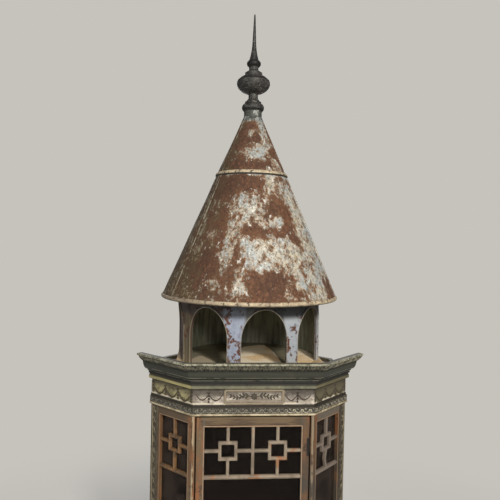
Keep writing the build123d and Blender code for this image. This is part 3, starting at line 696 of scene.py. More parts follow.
def frieze_paint():
    """Worn cream on the front, olive on the other faces."""
    paint = Paint("frieze_paint")
    x, y, z = paint.axes()
    middle = paint.noise(26, 5, 0.65)
    fine = paint.noise(150, 4, 0.7, shift=2)
    patches = paint.noise(48, 4, 0.65, stretch=(0.6, 0.6, 1.4), shift=14)
    cream = paint.layers(
        "#a89e90", (middle.step(0.4, 0.6), "#81786d"), (patches.step(0.54, 0.62), "#7a7064"),
        (patches.step(0.46, 0.38), "#c6bcad"), (fine.step(0.54, 0.66), "#6d6255"))
    # The olive is darker on the right cant: painted shade.
    olive = paint.layers(
        "#a0976f", (middle.step(0.4, 0.6), "#787050"), (patches.step(0.52, 0.6), "#5f583e"),
        (fine.step(0.56, 0.68), "#b3aa86"), (x.step(0.14, 0.18), middle.mix("#68624a", "#544e3a")))
    front = y.step(-HALF_DEPTH + 0.004, -HALF_DEPTH + 0.001)
    worn = (middle + fine * 0.4).step(0.8, 0.86)
    # Painted light: a broken paler band along the foot of the frieze.
    foot = z.window(FRIEZE_BOTTOM + 0.0015, FRIEZE_BOTTOM + 0.0075, 0.0015) * middle.step(0.38, 0.5)
    # Painted shade high on the front beside the tablet, deeper on the right.
    beside_tablet_shade = (abs(x).step(TABLET_HALF, TABLET_HALF + 0.004)
              * z.step(FRIEZE_BOTTOM + 0.014, FRIEZE_BOTTOM + 0.04))
    beside_tablet_shade = beside_tablet_shade * (x.step(-0.01, 0.01) * 0.25 + 0.45)
    # Darker towards the top of the frieze under the cornice: painted shade, with some dirt.
    grime = z.step(CORNICE_BOTTOM - 0.034, CORNICE_BOTTOM - 0.002)
    groove = z.step(FRIEZE_BOTTOM + 0.0022, FRIEZE_BOTTOM + 0.0012)
    colour = paint.layers(
        olive, (front, cream), (worn, "#6b5c49"), (foot * 0.75, "#dacfba"), (beside_tablet_shade * front, "#2f2d2f"),
        (grime * 0.8, "#40392d"), (groove * 0.8, "#2e2a20"))
    return paint.done(colour, (0.55, 0.8, middle), (fine, 0.0005, 0.4))


def carving(name, ground, crest, worn, left_worn=None):
    """Dark ground in the hollows, rubbed light on the crests of the relief."""
    paint = Paint(name)
    relief = paint.attribute("relief")
    middle = paint.noise(60, 5, 0.65)
    fine = paint.noise(260, 4, 0.7, shift=3)
    rubbed = relief.ragged(middle, 1.2)
    colour = paint.layers(ground, (rubbed.step(0.35, 0.85), crest), (fine.step(0.6, 0.7), worn))
    x, y, z = paint.axes()
    if left_worn:
        colour = (x.step(0.12, 0.07) * 0.55).mix(colour, left_worn)
    # Painted shade: darker carving on the cants below the frieze.
    sides = abs(x).step(CANT_EDGE, CANT_EDGE + 0.02)
    below = z.step(FRIEZE_BOTTOM + 0.001, FRIEZE_BOTTOM)
    colour = (sides * below * 0.34).mix(colour, "#1f1a12")
    return paint.done(colour, (0.45, 0.8, middle), (fine, 0.0005, 0.5))


def ornament_paint():
    """Dark posts and band with a worn cream bead below."""
    paint = Paint("ornament_paint")
    x, y, z = paint.axes()
    middle = paint.noise(32, 5, 0.65)
    fine = paint.noise(190, 4, 0.7, shift=2)
    bead_cream = paint.layers(
        "#c4b798", (middle.step(0.4, 0.62), "#8d8066"), (fine.step(0.57, 0.66), "#6d5840"))
    on_bead = z.window(BODY_TOP + 0.0002, BODY_TOP + 0.0066)
    band = z.window(BODY_TOP + 0.0072, FRIEZE_BOTTOM - 0.0075)
    band_paint = fine.step(0.5, 0.6).mix("#2c2b27", "#6f6a5c")
    # Painted shade on the right, below the top of the body.
    right_side_shade = x.step(0.15, 0.2) * z.step(BODY_TOP, BODY_TOP - 0.001)
    colour = paint.layers(
        "#4f4535", (middle.step(0.38, 0.64), "#3a3226"), (fine.step(0.6, 0.7), "#77705c"),
        (on_bead, bead_cream), (band * 0.85, band_paint),
        (z.step(FRIEZE_BOTTOM - 0.007, FRIEZE_BOTTOM - 0.006), "#2c281f"), (right_side_shade * 0.3, "#1b140e"),
        (paint.inside(), "#1d110e"))
    return paint.done(colour, (0.5, 0.8, middle), (fine, 0.0006, 0.4))


def frame_wood():
    """Brown paint worn to wood, with cold grey patches low on the right."""
    paint = Paint("frame_wood")
    x, y, z = paint.axes()
    grain = paint.noise(38, 6, 0.65, stretch=(2.2, 2.2, 0.16), distortion=0.4)
    broad = paint.noise(5.5, 4, 0.6, shift=1)
    middle = paint.noise(30, 5, 0.65, shift=2)
    fine = paint.noise(210, 4, 0.7, shift=6)
    top_rail = z.step(DOOR_TOP - DOOR_TOP_RAIL, DOOR_TOP - DOOR_TOP_RAIL + 0.002)
    away = abs(x).step(DOOR_EDGE - 0.012, DOOR_EDGE - 0.03)
    across = paint.noise(30, 5, 0.65, stretch=(0.25, 1, 2.4), shift=5)
    tan_rail = across.step(0.42, 0.6).mix("#735f45", "#523f2c")
    side_rail = (z.step(BODY_TOP - LIGHT_TOP_RAIL, BODY_TOP - LIGHT_TOP_RAIL + 0.002)
                 * abs(x).step(CANT_EDGE + 0.01, CANT_EDGE + 0.024))
    grey_rail = x.step(-0.01, 0.01).mix("#574b3a", "#7f776a")
    cold = x.step(0.12, 0.15) * z.step(0.89, 0.8) * middle.step(0.34, 0.5)
    # Painted shade: the hinge recess at the edge of the door is near black.
    slot = x.window(DOOR_EDGE - 0.0072, DOOR_EDGE + 0.001) * z.window(SLOT_BOTTOM, SLOT_TOP, 0.001)
    sight = abs(x).window(DOOR_EDGE - DOOR_STILE - 0.0005, DOOR_EDGE - DOOR_STILE + 0.005)
    corner = (abs(x).step(CANT_EDGE - 0.0052, CANT_EDGE - 0.0036)
              * abs(x).step(CANT_EDGE + 0.0036, CANT_EDGE + 0.0022))
    corner = corner * (grain + middle * 0.6).step(0.86, 0.76)
    # Painted shade over the whole frame, deeper on the right.
    body_shade = x.step(0.11, 0.15) * 0.26 + 0.18
    colour = paint.layers(
        "#8c6341", (grain.step(0.36, 0.66), "#674a2f"), (broad.step(0.5, 0.6), "#705d43"),
        ((broad + grain * 0.5).step(0.82, 0.9), "#925e38"), (fine.step(0.58, 0.68), "#97856a"),
        (middle.step(0.58, 0.66), "#46372a"), (top_rail * away, tan_rail),
        (side_rail * 0.85, grey_rail), (cold * 0.85, "#4f4c44"), (slot, "#080504"),
        (sight * 0.6, "#5d625e"), (corner * 0.75, "#c7b494"), (body_shade, "#1b140e"),
        (paint.inside(), "#24140f"))
    return paint.done(colour, (0.45, 0.75, middle), (grain, 0.0006, 0.5), (fine, 0.0004, 0.3))


def bar_paint():
    """Grey-cream paint of the glazing bars, browned at the joints."""
    paint = Paint("bar_paint")
    middle = paint.noise(34, 5, 0.65)
    fine = paint.noise(230, 4, 0.7, shift=2)
    broad = paint.noise(11, 3, 0.6, shift=7)
    x, y, z = paint.axes()
    brown = middle.step(0.4, 0.6).mix("#80603f", "#5c4732")
    colour = paint.layers(
        "#9c8d7a", (middle.step(0.38, 0.62), "#7a6c5c"), (broad.step(0.58, 0.66), "#9a6b48"),
        (x.step(-0.18, -0.19), brown), (x.step(0.18, 0.19), "#776b60"),
        (fine.step(0.6, 0.7), "#5b4b3c"), (paint.inside(), "#2a1a14"))
    return paint.done(colour, (0.45, 0.75, middle), (fine, 0.0005, 0.4))


def panel_wood():
    """Olive-brown paint on the framed boards of the sides and the back."""
    paint = Paint("panel_wood")
    grain = paint.noise(30, 6, 0.65, stretch=(2, 2, 0.18), distortion=0.4)
    broad = paint.noise(5, 4, 0.6)
    fine = paint.noise(200, 4, 0.7, shift=3)
    colour = paint.layers(
        "#5f5440", (grain.step(0.36, 0.66), "#4b4232"), (broad.step(0.48, 0.62), "#6b4f39"),
        (fine.step(0.6, 0.7), "#84785f"), (paint.inside(), "#24140f"))
    return paint.done(colour, (0.5, 0.8, grain), (grain, 0.0006, 0.5))


def old_glass():
    """Thin old glass with a film of dust, thicker on the canted lights."""
    paint = Paint("old_glass")
    x, y, z = paint.axes()
    clear = paint.node("ShaderNodeBsdfTransparent", {"Color": (0.66, 0.64, 0.62, 1)})
    gloss = paint.node("ShaderNodeBsdfGlossy", {"Roughness": 0.06, "Color": (0.28, 0.26, 0.25, 1)})
    dust = paint.node("ShaderNodeBsdfDiffuse", {"Color": rgb("#7d6c62")})
    edge = paint.node("ShaderNodeFresnel", {"IOR": 1.35})
    pane = paint.mix_shaders(edge.outputs[0], clear, gloss)
    on_cants = abs(x).step(DOOR_EDGE, DOOR_EDGE + 0.006)
    film = paint.noise(14, 5, 0.6).step(0.2, 0.7) * (on_cants * 0.16 + 0.015)
    paint.surface(paint.mix_shaders(film, pane, dust))
    return paint.material


def plain_metal(name, low, high, metallic):
    paint = Paint(name)
    middle = paint.noise(140, 4, 0.65)
    paint.shader.inputs["Metallic"].default_value = metallic
    return paint.done(middle.step(0.35, 0.65).mix(low, high), (0.4, 0.7, middle), (middle, 0.0005, 0.4))


def collar_metal():
    """Grey paint of the sleeve under the finial, with a white patch on the right."""
    paint = Paint("collar_metal")
    x, y, z = paint.axes()
    middle = paint.noise(60, 5, 0.65)
    fine = paint.noise(220, 4, 0.7, shift=3)
    patch = x.ragged(middle, 0.08).window(0.003, 0.013, 0.002) * y.step(0.0, -0.01)
    colour = paint.layers(
        "#454840", (middle.step(0.4, 0.62), "#333630"), (fine.step(0.58, 0.7), "#777a72"),
        (patch, "#8f918b"))
    return paint.done(colour, (0.5, 0.75, middle), (fine, 0.0005, 0.5))


# Material of each slot. Most slots have the name of the function that paints them
painters = (rim_metal, finial_metal, arcade_metal, board_wood, cornice_paint, frieze_paint,
            ornament_paint, frame_wood, bar_paint, panel_wood)
materials = {painter.__name__: painter() for painter in painters}
materials["roof_metal"] = flaking_metal()
materials["glass"] = old_glass()
materials["hinge_iron"] = plain_metal("hinge_iron", "#1d1712", "#3a2c20", 0.5)
materials["knob_brass"] = plain_metal("knob_brass", "#6b5428", "#93793f", 0.9)
lining = lining_wood()

# Ground, crest and worn colour of each carving, and what the left is worn to
CARVINGS = {
    "dark": ("#2c261b", "#4d4230", "#80765c"),
    "edge": ("#3b3830", "#8f8a7b", "#57513f"),
    "leaves": ("#23221c", "#8f8b76", "#5f5c4d"),
    "front": ("#1f1810", "#3d3327", "#5a4d3d"),
    "cream": ("#463b2e", "#a79b85", "#6d604c"),
    "grey": ("#2e2b24", "#cfc6ac", "#857e6b", "#3a3833"),
    "border": ("#3a3126", "#8d8069", "#5d503e"),
    "sprays": ("#231d14", "#4d4635", "#7d745f"),
    "chain": ("#2e271c", "#a89d7c", "#5d5442"),
    "edge_cream": ("#443a29", "#b9aa88", "#57492f"),
    "frame": ("#4a3323", "#a88d70", "#6f5138"),
}
carved = {name: carving("carved_" + name, *colours) for name, colours in CARVINGS.items()}

subparts = frame["record"]["subparts"]
looks = {subpart["node"]: materials[subpart["material_slot"]] for subpart in subparts}
looks.update(ceiling_board=lining, floor_board=lining, cone_collar=collar_metal())
for name, material in looks.items():
    nodes[name].data.materials.clear()
    nodes[name].data.materials.append(material)


# Roof sheets, with the layout of the paint that still holds
# Each patch: across from -1 to 1, up from 0 to 1, half width, half height, strength
LOWER_PATCHES = [
    # Paint
    (0.2, 0.985, 0.7, 0.018, 0.8), (0.41, 0.89, 0.17, 0.09, 0.95), (0.7, 0.89, 0.12, 0.08, 0.4),
    (-0.22, 0.79, 0.15, 0.05, 0.6), (0.02, 0.84, 0.16, 0.03, 0.15), (0.12, 0.76, 0.26, 0.045, 0.45),
    (0.01, 0.69, 0.12, 0.04, 0.65), (-0.28, 0.68, 0.13, 0.045, 0.75), (0.44, 0.61, 0.21, 0.055, 0.95),
    (-0.08, 0.6, 0.3, 0.06, 0.45), (-0.3, 0.47, 0.11, 0.08, 0.75), (-0.32, 0.32, 0.11, 0.08, 0.85),
    (0.14, 0.42, 0.27, 0.09, 0.95), (0.2, 0.27, 0.17, 0.055, 1.05), (-0.04, 0.35, 0.07, 0.09, 0.65),
    (0.45, 0.43, 0.17, 0.08, 0.6), (0.5, 0.33, 0.12, 0.06, 0.5), (0.68, 0.15, 0.19, 0.13, 1.3),
    (-0.1, 0.11, 0.12, 0.075, 1.05), (-0.46, 0.14, 0.07, 0.06, 0.85), (-0.61, 0.485, 0.08, 0.035, 1.15),
    (-0.7, 0.38, 0.09, 0.03, 0.7), (-0.72, 0.75, 0.1, 0.1, 0.25), (-0.55, 0.93, 0.08, 0.04, 0.45),
    (0.79, 0.82, 0.1, 0.1, 0.9), (0.83, 0.66, 0.1, 0.12, 0.95), (0.84, 0.5, 0.1, 0.12, 0.95),
    (0.84, 0.36, 0.1, 0.12, 0.95), (0.78, 0.26, 0.14, 0.1, 0.95), (0.97, 0.55, 0.04, 0.5, 0.45),
    (0.6, 0.025, 0.3, 0.018, 0.5), (0.4, 0.08, 0.05, 0.08, 0.5),
    # Rust
    (-0.16, 0.91, 0.36, 0.055, -1.1), (0.51, 0.72, 0.17, 0.07, -1), (0.64, 0.66, 0.1, 0.05, -0.8),
    (0.78, 0.93, 0.06, 0.05, -0.5), (0.05, 0.505, 0.15, 0.04, -0.9), (0.37, 0.51, 0.13, 0.045, -1),
    (0.61, 0.56, 0.09, 0.05, -0.8), (0.69, 0.44, 0.08, 0.07, -0.9), (-0.18, 0.375, 0.055, 0.05, -1),
    (0.2, 0.11, 0.23, 0.1, -1.2), (0.58, 0.045, 0.1, 0.035, -0.7), (0.93, 0.11, 0.06, 0.09, -0.8),
    (-0.5, 0.6, 0.17, 0.16, -0.6), (-0.6, 0.26, 0.28, 0.17, -0.6), (-0.48, 0.84, 0.2, 0.07, -0.4),
]
UPPER_PATCHES = [
    # Paint
    (0.3, 0.93, 0.13, 0.04, 0.6), (-0.12, 0.69, 0.13, 0.07, 0.75), (0.25, 0.75, 0.08, 0.05, 0.6),
    (0.68, 0.62, 0.18, 0.27, 0.9), (0.62, 0.9, 0.22, 0.1, 0.6), (0.08, 0.35, 0.3, 0.11, 1),
    (0.4, 0.42, 0.16, 0.1, 0.75), (-0.38, 0.34, 0.16, 0.09, 0.6), (0.55, 0.07, 0.16, 0.05, 0.9),
    (0.78, 0.16, 0.12, 0.09, 0.55), (0.3, 0.015, 0.8, 0.02, 0.45), (-0.8, 0.8, 0.08, 0.1, 0.35),
    # Rust
    (-0.07, 0.82, 0.34, 0.06, -1), (0.2, 0.6, 0.14, 0.06, -0.7), (-0.55, 0.56, 0.3, 0.17, -0.9),
    (-0.18, 0.11, 0.62, 0.055, -1.2), (0.72, 0.36, 0.09, 0.06, -0.9), (-0.8, 0.25, 0.2, 0.2, -0.5),
]
BARE_COVER = 0.20
LEAST_COVER, MOST_COVER = -0.35, 0.86
PATCH_WEIGHT = 0.8
PATCH_FALL = 0.7
BACK_PATCHES = 60
SEAM_TURN = radians(-63)
SEAM_WIDTH = 0.024
SEAM_EDGE = 0.0040

# From an edge of a lap inwards: how far in, how proud, and how much better the paint holds
LAP_EDGE = ((0.0, -0.0008, 0.5), (0.0006, 0.0010, 0.5), (SEAM_EDGE, 0.0011, 0.5),
            (1.6 * SEAM_EDGE, 0.0008, 0.0))
LAP_PROFILE = [(-SEAM_WIDTH / 2 + inset, proud, rub) for inset, proud, rub in LAP_EDGE]
LAP_PROFILE += [(SEAM_WIDTH / 2 - inset, proud, rub) for inset, proud, rub in reversed(LAP_EDGE)]


def random_patches():
    """Patches for the sides that the photograph doesn't show."""
    patches = []
    for number in range(BACK_PATCHES):
        turn = rng.uniform(radians(72), radians(278))
        strength = rng.choice((0.9, 0.8, 0.6, 0.5, -0.6, -0.9))
        patches.append((turn, rng.uniform(0, 1), rng.uniform(5, 15), rng.uniform(0.04, 0.11), strength))
    return patches


def laid_paint(turn, up, patches, others):
    """How well the paint holds at a place: over 0.5 it covers the metal."""
    facing = turn - VIEW_AZIMUTH
    near = [(sin(facing) - across, rest) for across, *rest in patches] if cos(facing) > 0 else []
    near += [((degrees(turn - place) + 180) % 360 - 180, rest) for place, *rest in others]
    value = BARE_COVER
    for apart, (level, half_width, half_height, strength) in near:
        spread = (apart / half_width) ** 2 + ((up - level) / half_height) ** 2
        value += strength * PATCH_WEIGHT * exp(-PATCH_FALL * spread)
    return max(LEAST_COVER, min(MOST_COVER, value))


def grime_at(turn, up):
    """Olive dirt with painted shade towards the left, and dirt low down."""
    return max(0.0, -sin(turn - VIEW_AZIMUTH) - 0.15) * 0.9 + 0.35 * max(0.0, 0.3 - up)


class Cone:
    """One tier of the roof: its levels and radii, and the paint on it."""

    def __init__(self, low, high, low_radius, high_radius, patches, slate_from=2.0):
        self.low, self.high = low, high
        self.low_radius, self.high_radius = low_radius, high_radius
        self.patches = patches
        self.others = random_patches()
        self.slate_from = slate_from

    def radius(self, up):
        return self.low_radius + (self.high_radius - self.low_radius) * up

    def spot(self, turn, up, proud=0.0):
        radius = self.radius(up) + proud
        return Vector((sin(turn) * radius, -cos(turn) * radius, self.low + (self.high - self.low) * up))

    def piece(self, name, rows, closed, sharp):
        """Piece over rows of places. A place is its turn, its share of the height, how proud it is and
        how much better the paint holds."""
        lines, cover, grime, slate = [], [], [], []
        for row in rows:
            lines.append([self.spot(turn, up, proud) for turn, up, proud, rub in row])
            for turn, up, proud, rub in row:
                cover.append(laid_paint(turn, up, self.patches, self.others) + rub)
                grime.append(grime_at(turn, up))
                slate.append(max(0.0, min(1.0, (up - self.slate_from) / 0.05)))
        shape = Shape()
        shape.add(grid(lines, closed))
        made = shape.piece(name, materials["roof_metal"], "roof_metal", sharp=sharp)
        add_values(made.data, cover=cover, grime=grime, slate=slate)
        return made

    def sheet(self, name, node, columns, count):
        """Rolled sheet with slight dents."""
        rows = []
        for number in range(count + 1):
            up = number / count
            ends = min(1.0, 8 * up, 8 * (1 - up))
            row = []
            for column in range(columns):
                turn = 2 * pi * column / columns
                spot = self.spot(turn, up)
                dent = noise.noise(spot * 7) * 0.0012 + noise.noise(spot * 19) * 0.0005 - 0.0004
                row.append((turn, up, dent * ends, 0.0))
            rows.append(row)
        made = self.piece(name, rows, closed=True, sharp=60)
        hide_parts(node)

    def lap(self, name, turn, start, end, steps=70):
        """Lapped joint that runs up the cone, rubbed pale on its edges."""
        rows = []
        for step in range(steps + 1):
            up = start + (end - start) * step / steps
            radius = self.radius(up)
            narrow = min(1.0, 0.55 + radius / self.low_radius * 0.45)
            rows.append([(turn + side * narrow / radius, up, proud, rub)
                         for side, proud, rub in LAP_PROFILE])
        self.piece(name, rows, closed=False, sharp=30)


lower_cone = Cone(CONE_FOOT, BAND_LEVEL, FOOT_RADIUS, BAND_RADIUS, LOWER_PATCHES)
lower_cone.sheet("lower_sheet", "lower_cone", 300, 120)
lower_cone.lap("lower_lap", SEAM_TURN, 0.0, 0.985)
lower_cone.lap("right_lap", radians(74), 0.0, 0.985)
lower_cone.lap("back_lap", radians(185), 0.0, 0.985)
upper_cone = Cone(BAND_LEVEL, CONE_TOP, BAND_RADIUS, COLLAR_RADIUS, UPPER_PATCHES, slate_from=0.89)
upper_cone.sheet("upper_sheet", "upper_cone", 220, 90)
upper_cone.lap("upper_lap", SEAM_TURN - radians(4), 0.04, 1.0)
upper_cone.lap("upper_back_lap", radians(150), 0.04, 1.0)


# Beads on the edges of the arches
ARCH_BEAD = 0.0013
ARCH_BEAD_PROUD = 0.0014
ARCH_BEAD_INSET = 0.0012
JAMB_STEPS = 6
CROWN_STEPS = 40


def arch_edges():
    shape = Shape()
    radius = ARCADE_RADIUS + ARCH_BEAD_PROUD
    half_arch = (2 * pi * ARCADE_RADIUS / PIER_COUNT - LEG_WIDTH) / 2 + ARCH_BEAD_INSET
    jamb = [height * ARCH_SPRING / JAMB_STEPS for height in range(JAMB_STEPS)]
    outline = [(-half_arch, height) for height in jamb]
    for step in range(CROWN_STEPS + 1):
        angle = pi - pi * step / CROWN_STEPS
        rise = sin(angle) * (ARCH_RISE + ARCH_BEAD_INSET)
        outline.append((cos(angle) * half_arch, ARCH_SPRING + rise))
    outline += [(half_arch, height) for height in reversed(jamb)]
    for number in range(PIER_COUNT):
        facing = ARCADE_TURN + 2 * pi * number / PIER_COUNT
        out = Vector((sin(facing), -cos(facing), 0))
        side = Vector((cos(facing), sin(facing), 0))
        path = [out * sqrt(radius ** 2 - across ** 2) + side * across + UP * (BOARD_TOP + height)
                for across, height in outline]
        shape.add(strand(path, ARCH_BEAD, normal=out))
    shape.piece("arch_edges", carved["edge"], "rim_metal")


arch_edges()


# Cornice: carved leaves under the lip, with a clasp at each corner
LEAF_PITCH = 0.0105
LEAF_DROP = 0.0275
LEAF_LEAN = radians(42)
LEAF_SWAY = 0.08
LEAVES_IN = 0.012
END_MARGIN = 0.002


def lip_leaves():
    shape = Shape()
    tongue = leaf(LEAF_DROP, LEAF_PITCH * 1.05, 0.0052, rib=0.6, rows=7)
    dart = leaf(LEAF_DROP * 0.85, LEAF_PITCH * 0.4, 0.0036, rib=0.0, rows=5, columns=3)
    for face in MOULDED:
        plain = face_length(face) / 2 - END_MARGIN
        mitred = face_length(face, CORNICE_OUT - LEAVES_IN) / 2
        start = -plain if face == FRONT_LEFT else -mitred
        end = plain if face == FRONT_RIGHT else mitred
        count = int((end - start) / LEAF_PITCH)
        pitch = (end - start) / count
        for index in range(count):
            x = start + (index + 0.5) * pitch
            sway = rng.uniform(-LEAF_SWAY, LEAF_SWAY)
            hang = Matrix.Rotation(LEAF_LEAN, 4, "X") @ Matrix.Rotation(HANG_DOWN + sway, 4, "Z")
            for part, shift, sunk in ((tongue, 0, 0.0030), (dart, pitch / 2, 0.0040)):
                if abs(x + shift) <= max(plain, mitred) - END_MARGIN:
                    spot = on_face(face, x + shift, CORNICE_TOP - 0.0055, CORNICE_OUT - sunk)
                    shape.add(part, spot @ hang)
    shape.piece("lip_leaves", carved["leaves"], "cornice_paint")


def corner_clasps():
    shape = Shape()
    corners = plan_corners(CORNICE_OUT - 0.0042)
    lean = Matrix.Rotation(LEAF_LEAN * 0.7, 4, "X") @ Matrix.Rotation(HANG_DOWN, 4, "Z")
    for index in (FRONT, FRONT_RIGHT):
        out = (outward(index - 1) + outward(index)).normalized()
        spot = standing(corners[index] + UP * (CORNICE_TOP - 0.0005), UP.cross(out), out)
        shape.add(leaf(0.021, 0.010, 0.0035, rib=0.6, rows=6), spot @ lean)
    shape.piece("corner_clasps", carved["cream"], "cornice_paint")


lip_leaves()
corner_clasps()


# Frieze: festoons hung between drops
FRIEZE_HEIGHT = CORNICE_BOTTOM - FRIEZE_BOTTOM
SWAG_TOP = FRIEZE_BOTTOM + FRIEZE_HEIGHT * 0.66
SWAG_PITCH = 0.062
SWAG_MARGIN = 0.008
SWAG_STEPS = 24
DROP_LENGTH = 0.027
BELLS = 3


def festoon(shape, face, left, right, sag, radius):
    path = []
    for step in range(SWAG_STEPS + 1):
        share = step / SWAG_STEPS
        level = SWAG_TOP - sag * 4 * share * (1 - share) + rng.uniform(-0.0003, 0.0003)
        path.append((left + (right - left) * share, level, 0.0004))
    shape.add(strand(path, radius, half=True, lumps=9, lump_depth=0.35, taper=True), on_face(face))


def drop(shape, face, x, bell):
    """Bow with a string of bellflowers under it."""
    bow = leaf(0.0065, 0.004, 0.0022, rib=0.4, rows=4, columns=4)
    for side in (-1, 1):
        shape.add(bow, on_face(face, x, SWAG_TOP + 0.001, 0.0003, radians(90 - side * 55)))
    for number in range(BELLS):
        size = bell - 0.0007 * number
        flower = leaf(DROP_LENGTH / BELLS, size, 0.0024, rib=0.3, rows=4, columns=4)
        z = SWAG_TOP - 0.002 - number * DROP_LENGTH / BELLS
        for side in (-0.25, 0.25):
            shape.add(flower, on_face(face, x + side * size, z, 0.0003, HANG_DOWN + side * 0.6))


def front_swags():
    shape = Shape()
    inner, edge = TABLET_HALF + 0.002, face_length(FRONT) / 2 - SWAG_MARGIN
    for side in (-1, 1):
        middle = (inner + edge) / 2 - side * 0.002
        festoon(shape, FRONT, side * inner, side * middle, 0.020, 0.0024)
        festoon(shape, FRONT, side * middle, side * edge, 0.018, 0.0024)
        drop(shape, FRONT, side * middle, 0.0044)
    shape.piece("front_swags", carved["front"], "ornament_paint")


def frieze_swags():
    shape = Shape()
    for face in range(1, FACE_COUNT):
        edge = face_length(face) / 2 - SWAG_MARGIN
        count = max(3, round(face_length(face) / SWAG_PITCH))
        places = [-edge + index * 2 * edge / count for index in range(count + 1)]
        for left, right in zip(places, places[1:]):
            festoon(shape, face, left, right, 0.027, 0.0041)
        for x in places:
            drop(shape, face, x, 0.0060)
    shape.piece("frieze_swags", carved["dark"], "ornament_paint")


front_swags()
frieze_swags()


# Tablet: a rosette with sprays of leaves on its sunk field, reeds along the foot, and a border
TABLET_BORDER = 0.009
TABLET_OUT = -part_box("frieze_tablet")[0].y - HALF_DEPTH
TABLET_MIDDLE = FRIEZE_BOTTOM + FRIEZE_HEIGHT / 2 + 0.001
FIELD_OUT = 0.0021
SPRAY_START, SPRAY_LENGTH, SPRAY_WAVE = 0.012, 0.062, 0.0035
SPRAY_LEAVES = 6
REEDS = 52
REED_HEIGHT = 0.0056


def on_tablet(x=0.0, y=0.0, out=0.0, turn=0.0):
    return on_face(FRONT, x, TABLET_MIDDLE + y, FIELD_OUT + out, turn)


def spray_point(side, share):
    """Point of the waving stem to a side of the rosette."""
    return side * (SPRAY_START + SPRAY_LENGTH * share), SPRAY_WAVE * sin(share * 2.4 * pi)


def tablet_sprays():
    shape = Shape()
    shape.add(knob(0.0115, 0.0016, 6, 48, petals=8, petal_depth=0.35), on_tablet())
    shape.add(knob(0.0042, 0.0022, 4, 16), on_tablet(out=0.0004))
    for side in (-1, 1):
        stem = [(*spray_point(side, step / 30), 0) for step in range(31)]
        shape.add(strand(stem, 0.0011, 5, half=True), on_tablet())
        for number in range(SPRAY_LEAVES):
            share = (number + 0.6) / (SPRAY_LEAVES + 0.2)
            x, y = spray_point(side, share)
            size = 0.0135 - 0.0045 * share
            for up in (-1, 1):
                turn = radians(up * 38) if side > 0 else radians(180 - up * 38)
                shape.add(leaf(size, size * 0.42, 0.0017, rib=0.5, rows=6, curl=0.12 * up * side),
                          on_tablet(x, y, turn=turn))
    shape.piece("tablet_sprays", carved["sprays"], "ornament_paint")


def tablet_border():
    shape = Shape()
    across = TABLET_HALF - TABLET_BORDER / 2
    low, high = FRIEZE_BOTTOM + TABLET_BORDER / 2 + 0.0015, CORNICE_BOTTOM - TABLET_BORDER / 2 - 0.0015
    bead_ring(shape, FRONT, -across, across, low, high, TABLET_OUT - 0.0004,
              radius=TABLET_BORDER * 0.42, flat=0.5, steps=8, sides=8)
    shape.piece("tablet_border", carved["border"], "frieze_paint")


def tablet_reeds():
    shape = Shape()
    reach = TABLET_HALF - TABLET_BORDER - 0.003
    foot = on_face(FRONT, 0, FRIEZE_BOTTOM + 0.002 + TABLET_BORDER, 0.0019)
    for index in range(REEDS):
        x = -reach + 2 * reach * (index + 0.5) / REEDS
        path = [(x, REED_HEIGHT * share, 0) for share in (0, 0.5, 1)]
        shape.add(strand(path, reach / REEDS * 0.75, 4, half=True), foot)
    shape.piece("tablet_reeds", carved["cream"], "frieze_paint")


tablet_sprays()
tablet_border()
tablet_reeds()


# Band over the door: a running scroll, turned from both ends towards a flower in the middle
SCROLL_PITCH = 0.025
BAND_OUT = 0.0050
BAND_MIDDLE = (BODY_TOP + 0.007 + FRIEZE_BOTTOM - 0.007) / 2
CURL_STEPS = 26
CURL_START, CURL_SWEEP, CURL_REACH = radians(-150), radians(430), 0.0072

# Each leaf of the scroll: its place, its turn in degrees and its length
SCROLL_LEAVES = ((0.0095, 0.0035, 35, 0.0085), (0.0085, -0.002, -30, 0.0075),
                 (-0.009, 0.0015, 120, 0.0065))


def scroll_unit(shape, place):
    """Curl with leaves behind it, one pitch long."""
    curl = []
    for step in range(CURL_STEPS + 1):
        share = step / CURL_STEPS
        angle = CURL_START + share * CURL_SWEEP
        reach = CURL_REACH * (1 - 0.78 * share)
        curl.append((0.002 + reach * cos(angle), reach * sin(angle) * 0.85, 0))
    shape.add(strand(curl, 0.0012, 4, half=True, taper=True), place)
    tail = [(-0.0155 + 0.011 * step / 8, -0.0045 - 0.002 * sin(pi * step / 8), 0) for step in range(9)]
    shape.add(strand(tail, 0.0012, 4, half=True), place)
    for x, y, turn, size in SCROLL_LEAVES:
        spot = place @ Matrix.Translation((x, y, 0)) @ Matrix.Rotation(radians(turn), 4, "Z")
        shape.add(leaf(size, size * 0.5, 0.0017, rib=0.5, rows=5, columns=4), spot)
    shape.add(knob(0.0019, 0.0017, 3, 8), place @ Matrix.Translation((0.0025, 0.0, 0)))


def running_band():
    shape = Shape()
    for face in range(FACE_COUNT):
        length = face_length(face, BAND_OUT) - 0.008
        halves = max(2, round(length / SCROLL_PITCH / 2))
        pitch = length / 2 / (halves + 0.35)
        for side in (-1, 1):
            flip = Matrix.Scale(-1, 4, (1, 0, 0)) if side < 0 else Matrix.Identity(4)
            for index in range(halves):
                x = side * pitch * (index + 0.85)
                scroll_unit(shape, on_face(face, x, BAND_MIDDLE, BAND_OUT - 0.0002) @ flip)
        middle = on_face(face, 0, BAND_MIDDLE, BAND_OUT - 0.0002)
        shape.add(knob(0.0075, 0.0026, 5, 40, petals=8, petal_depth=0.3), middle)
        shape.add(knob(0.0028, 0.0036, 4, 12), middle)
    shape.piece("running_band", carved["grey"], "ornament_paint")


running_band()


# Outer posts: a carved chain of leaves and berries between two beads
CHAIN_UNIT = 0.033
CHAIN_EDGE = 0.0165
CHAIN_HALF = 0.0098
CHAINS = ((FRONT_LEFT, -1), (FRONT_RIGHT, 1), (RIGHT, -1), (LEFT, 1))


